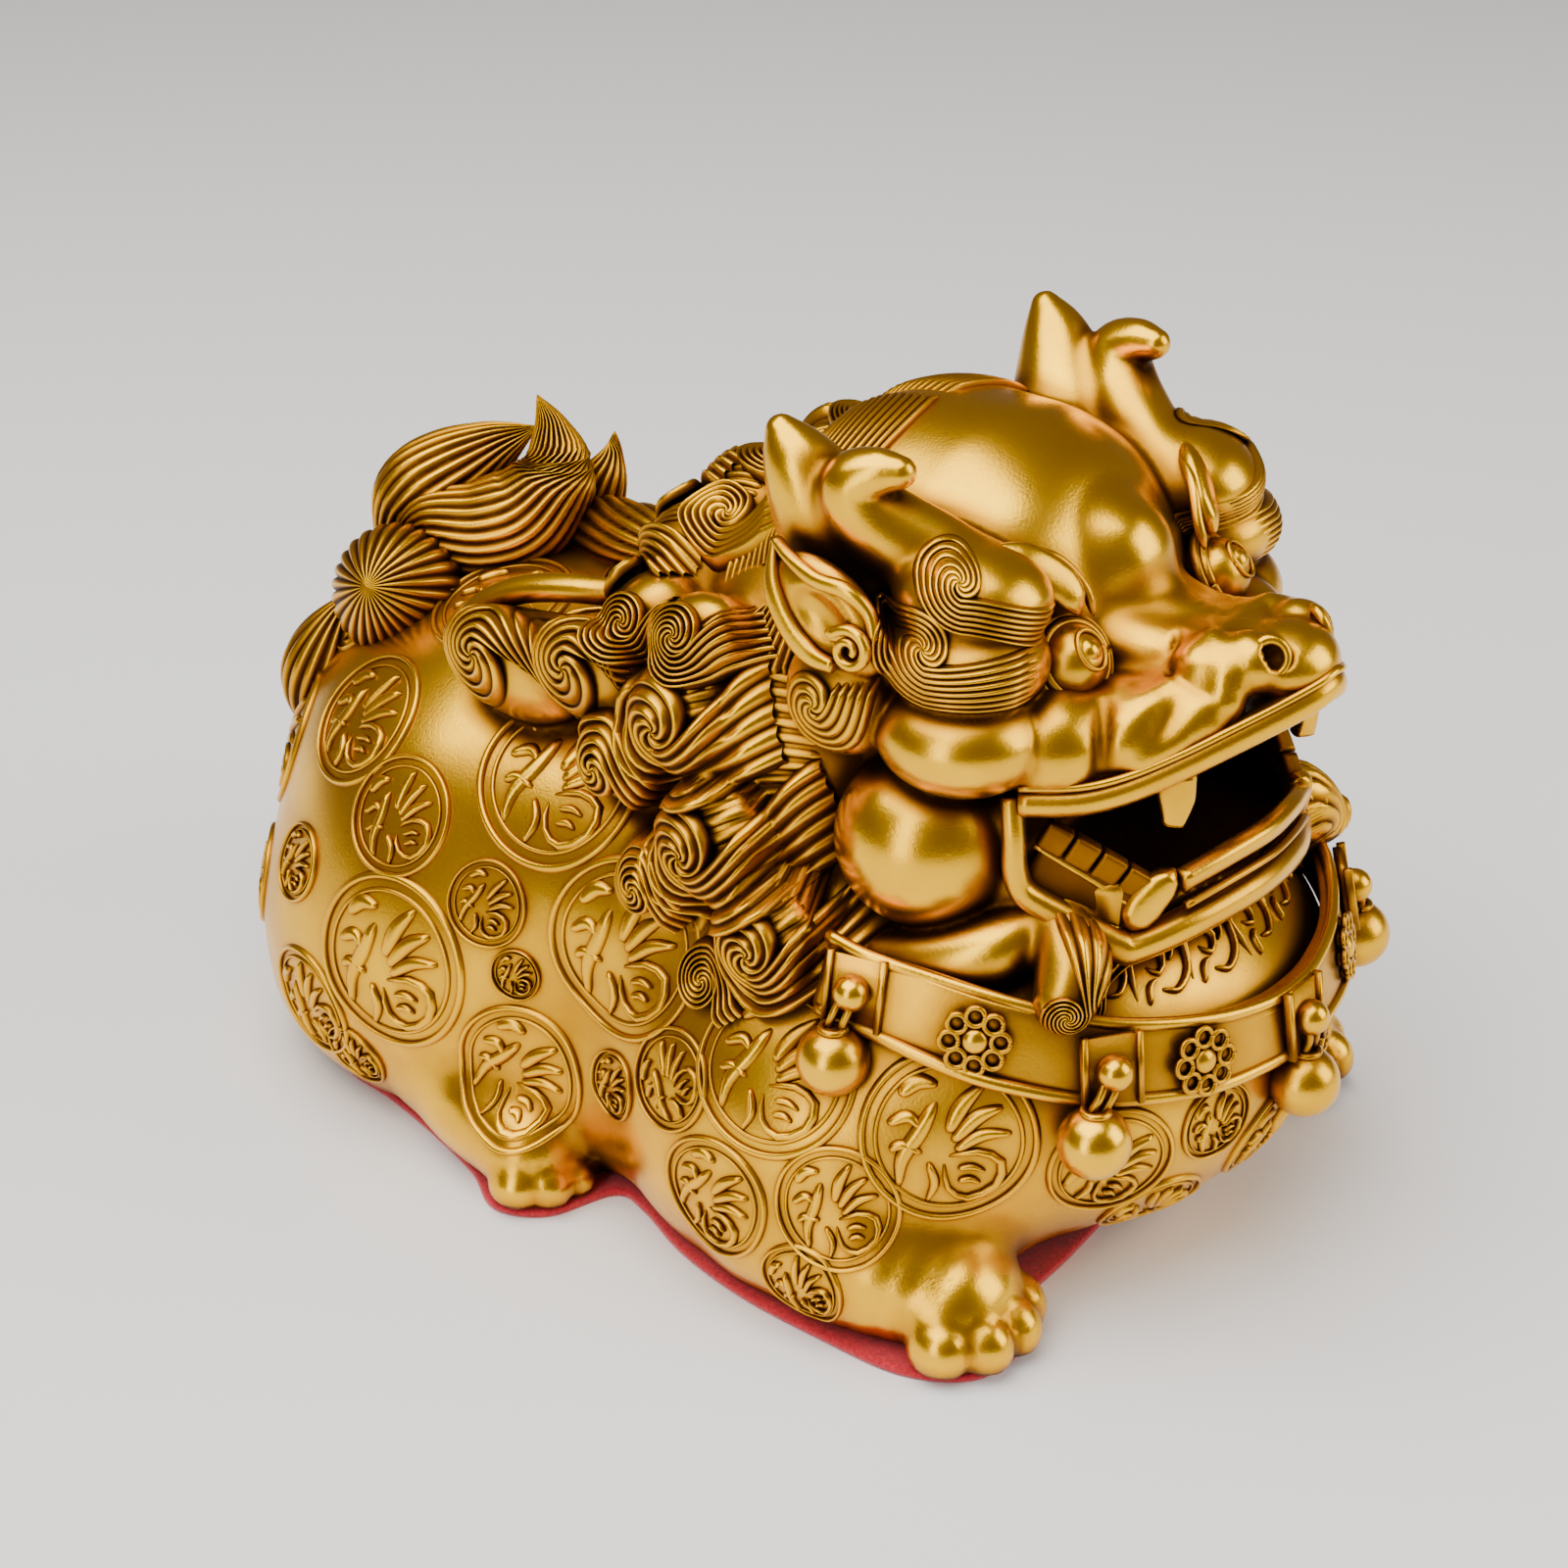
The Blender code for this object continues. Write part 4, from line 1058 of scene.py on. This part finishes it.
def ringPattern(radius, halfWidth, height, around=72):
    # a raised ring: its height follows a half circle across the width
    angle = np.linspace(0, 2 * np.pi, around, endpoint=False)[None]
    v = np.linspace(-1, 1, 7)[:, None]
    r = radius + halfWidth * v
    flat = np.stack([r * np.cos(angle), r * np.sin(angle)], -1).reshape(-1, 2)
    up = (np.sqrt(np.maximum(1 - v * v, 0)) * (height + 0.35) - 0.35 + 0 * angle).ravel()
    return flat, up, gridFaces(7, around, closed=True)[:, ::-1]


def strokePattern(line, width, height):
    # a brush stroke: a leaf that swells and thins along a smooth line, rounded on top
    path = smoothLine(np.array(line), max(2, 14 // (len(line) - 1)))
    t = np.linspace(0, 1, len(path))[:, None]
    tangent = np.gradient(path, axis=0)
    tangent /= np.linalg.norm(tangent, axis=1)[:, None]
    sideways = np.stack([-tangent[:, 1], tangent[:, 0]], -1)
    v = np.linspace(-1, 1, 7)[None]
    swell = width * 0.5 * np.clip(np.sin(np.pi * (0.06 + 0.88 * t**0.8)), 0.05, 1) ** 0.7
    flat = path[:, None] + (swell * v)[..., None] * sideways[:, None]
    up = np.clip(1 - np.abs(v) ** 2.5, 0, 1) * height * np.clip(np.sin(np.pi * t) * 4, 0, 1) - 0.15 * (np.abs(v) > 0.9)
    return flat.reshape(-1, 2), up.ravel(), gridFaces(len(path), 7)[:, ::-1]


def makeMedallions(name, places, forms):
    bases = medallionBases(places, forms)
    patterns = [ringPattern(1.0, 0.055, 0.75), ringPattern(0.84, 0.035, 0.45)]
    patterns += [strokePattern(line, width * 1.35, 0.9) for line, width in strokes]
    parts = []
    for flat, up, faces in patterns:
        p = medallionPatch(flat, up, places, bases, forms)
        many = faces[None] + (np.arange(len(places)) * len(flat))[:, None, None]
        # painted shade with the antiquing: each raised mark is painted darker towards its foot, where it meets the hide
        antiquingAndShade = np.tile(np.clip(0.35 - up, 0, 0.5), len(places))
        parts.append((p, many.reshape(-1, 4), antiquingAndShade))
    return makePiece(name, *joinParts(parts)[:2], brass, joinParts(parts)[2])


throatScrolls = [
    ([(-0.9, -0.7), (-0.75, 0.3), (-0.2, 0.7), (0.2, 0.2), (-0.1, -0.2), (-0.35, 0.05)], 0.26),
    ([(0.9, 0.8), (0.8, -0.2), (0.3, -0.7), (-0.15, -0.6)], 0.26), ([(-0.6, -0.9), (-0.45, -0.45), (-0.2, -0.3)], 0.2),
    ([(0.4, 0.8), (0.5, 0.35), (0.35, 0.05)], 0.2),
]
throatPlaces = [(-27, -103, 62, 5.5, 20), (-18, -108, 62, 6.5, 0), (-7, -111, 62, 6.5, -8), (5, -111, 62, 6.5, 8),
                (16, -108, 62, 6.5, -6), (26, -103, 62, 5.5, 0)]


def makeThroatRelief(forms):
    # scrolls in a row across the throat between the jaw and the collar
    bases = medallionBases(throatPlaces, forms)
    parts = []
    for line, width in throatScrolls:
        flat, up, faces = strokePattern(line, width, 1.0)
        p = medallionPatch(flat, up, throatPlaces, bases, forms)
        many = faces[None] + (np.arange(len(throatPlaces)) * len(flat))[:, None, None]
        # painted shade with the antiquing: each scroll is painted darker towards its foot, where it meets the throat
        parts.append((p, many.reshape(-1, 4), np.tile(np.clip(0.35 - up, 0, 0.5), len(throatPlaces))))
    return makePiece("throatRelief", *joinParts(parts)[:2], brass, joinParts(parts)[2])


print("raising medallions")
makeThroatRelief(bodyForms + headForms)
hideForms = [form for form in bodyForms if form not in maneForms + wingForms]
makeMedallions("medallionsRight", medallions, hideForms)
makeMedallions("medallionsLeft", [(-x, y, z, r, -turn) for x, y, z, r, turn in medallions if abs(x) > 1], hideForms)


# the felt pad glued underneath: a closed sheet with a pressed, fuzzy edge

feltSide = [
    (0, 46), (-20, 56), (-33, 61), (-46, 55), (-54, 44), (-56.5, 30), (-60.5, 15), (-65, 2), (-70.5, -8), (-66.5, -17),
    (-54.5, -22), (-55, -29), (-60.5, -42), (-64, -58), (-65, -76), (-64.5, -91), (-59, -101), (-50, -103.5),
    (-42, -100), (-35, -96), (-20, -95), (0, -93),
]
feltThickness = 1.5  # mm


def makeFelt():
    # rings of the outline shrunk to a simpler one inside it, over the top, round the rounded edge and under
    half = smoothLine(np.array(feltSide, float), 8)
    outline = np.vstack([half, half[-2:0:-1] * (-1, 1)])
    inner = np.column_stack([outline[:, 0] * 0.55, np.clip(outline[:, 1], -84, 40)])
    shrink = np.array([1, 0.8, 0.6, 0.4, 0.2, 0.06, 0.012, 0, 0, 0.012, 0.06, 0.2, 0.4, 0.6, 0.8, 1])
    height = np.array([1, 1, 1, 1, 1, 1, 0.97, 0.75, 0.25, 0.03, 0, 0, 0, 0, 0, 0]) * feltThickness
    flat = outline[None] * (1 - shrink[:, None, None]) + inner[None] * shrink[:, None, None]
    points = np.concatenate([flat, np.broadcast_to(height[:, None, None], (*flat.shape[:2], 1))], -1)
    around = len(outline)
    faces = gridFaces(len(shrink), around, closed=True)
    seam = np.arange(around)
    after = (seam + 1) % around
    low = (len(shrink) - 1) * around
    middles = np.array([[0, -20, feltThickness], [0, -20, 0]])
    points = np.vstack([points.reshape(-1, 3), middles])
    caps = np.vstack([np.stack([np.full(around, len(points) - 2), after, seam, seam], 1),
                      np.stack([np.full(around, len(points) - 1), low + seam, low + after, low + after], 1)])
    return points, np.vstack([faces, caps])[:, ::-1]


def makeFeltMaterial():
    # pressed wool felt: red, matt, with darker flecks and a nap of fine fibres
    material = bpy.data.materials.new("redWoolFelt")
    material.use_nodes = True
    tree = material.node_tree
    shader = tree.nodes["Principled BSDF"]
    place = addNode(tree, "ShaderNodeTexCoord").outputs["Object"]
    nap = addNode(tree, "ShaderNodeTexNoise", {"Scale": 1600.0, "Detail": 5.0, "Roughness": 0.7}, {"Vector": place})
    ramp = addNode(tree, "ShaderNodeValToRGB", None, {"Fac": nap.outputs["Fac"]})
    setRamp(ramp, [(0.3, "#8E0A1A"), (0.55, "#C41428"), (0.8, "#D93A48")])
    tree.links.new(ramp.outputs["Color"], shader.inputs["Base Color"])
    bump = addNode(tree, "ShaderNodeBump", {"Strength": 0.6, "Distance": 0.0002}, {"Height": nap.outputs["Fac"]})
    tree.links.new(bump.outputs["Normal"], shader.inputs["Normal"])
    shader.inputs["Roughness"].default_value = 0.95
    shader.inputs["Sheen Weight"].default_value = 0.4
    return material


print("laying felt")
points, faces = makeFelt()
felt = makePiece("feltPad", points, faces, makeFeltMaterial())
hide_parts("felt_pad")


# floor, light and camera

def makeStage():
    floorMaterial = bpy.data.materials.new("paleFloor")
    floorMaterial.use_nodes = True
    shader = floorMaterial.node_tree.nodes["Principled BSDF"]
    shader.inputs["Base Color"].default_value = linear("#FAFAFA")
    shader.inputs["Roughness"].default_value = 0.7
    mesh = bpy.data.meshes.new("floor")
    mesh.from_pydata([(-4, -4, 0), (4, -4, 0), (4, 4, 0), (-4, 4, 0)], [], [(0, 1, 2, 3)])
    mesh.materials.append(floorMaterial)
    floor = bpy.data.objects.new("floor", mesh)
    bpy.context.scene.collection.objects.link(floor)


def addSoftLight(name, at, aim, size, power, colour="#FFFFFF"):
    light = bpy.data.lights.new(name, "AREA")
    light.shape = "RECTANGLE"
    light.size, light.size_y = size
    light.energy = power
    light.color = linear(colour)[:3]
    lamp = bpy.data.objects.new(name, light)
    lamp.location = at
    turn = (np.array(aim) - np.array(at))
    lamp.rotation_mode = "QUATERNION"
    lamp.rotation_quaternion = Vector(turn).to_track_quat("-Z", "Y")
    bpy.context.scene.collection.objects.link(lamp)


def makeCamera():
    azimuth, height, distance = math.radians(-52.0), math.radians(27.6), 0.62
    target = np.array([0.022, backShift * 0.001, 0.043])
    back = np.array([
        math.sin(azimuth) * math.cos(height), -math.cos(azimuth) * math.cos(height), math.sin(height)
    ])
    data = bpy.data.cameras.new("camera")
    data.lens, data.sensor_width = 75.33, 36
    data.clip_start, data.clip_end = 0.05, 30
    camera = bpy.data.objects.new("camera", data)
    camera.location = target + back * distance
    camera.rotation_mode = "QUATERNION"
    camera.rotation_quaternion = Vector(back).to_track_quat("Z", "Y")
    bpy.context.scene.collection.objects.link(camera)
    bpy.context.scene.camera = camera


makeStage()
makeCamera()
addSoftLight("keyLight", (-0.3, 0.1, 1.0), (0, 0, 0.05), (1.1, 1.1), 18)
addSoftLight("frontLight", (0.5, -1.0, 0.6), (0, 0, 0.06), (0.8, 0.9), 9)
addSoftLight("sideLight", (-1.1, -0.1, 0.4), (0, 0, 0.06), (0.4, 0.9), 4.5)
world = bpy.data.worlds.new("studio")
bpy.context.scene.world = world
world.use_nodes = True
world.node_tree.nodes["Background"].inputs["Color"].default_value = linear("#FFE6CC")
world.node_tree.nodes["Background"].inputs["Strength"].default_value = 0.2
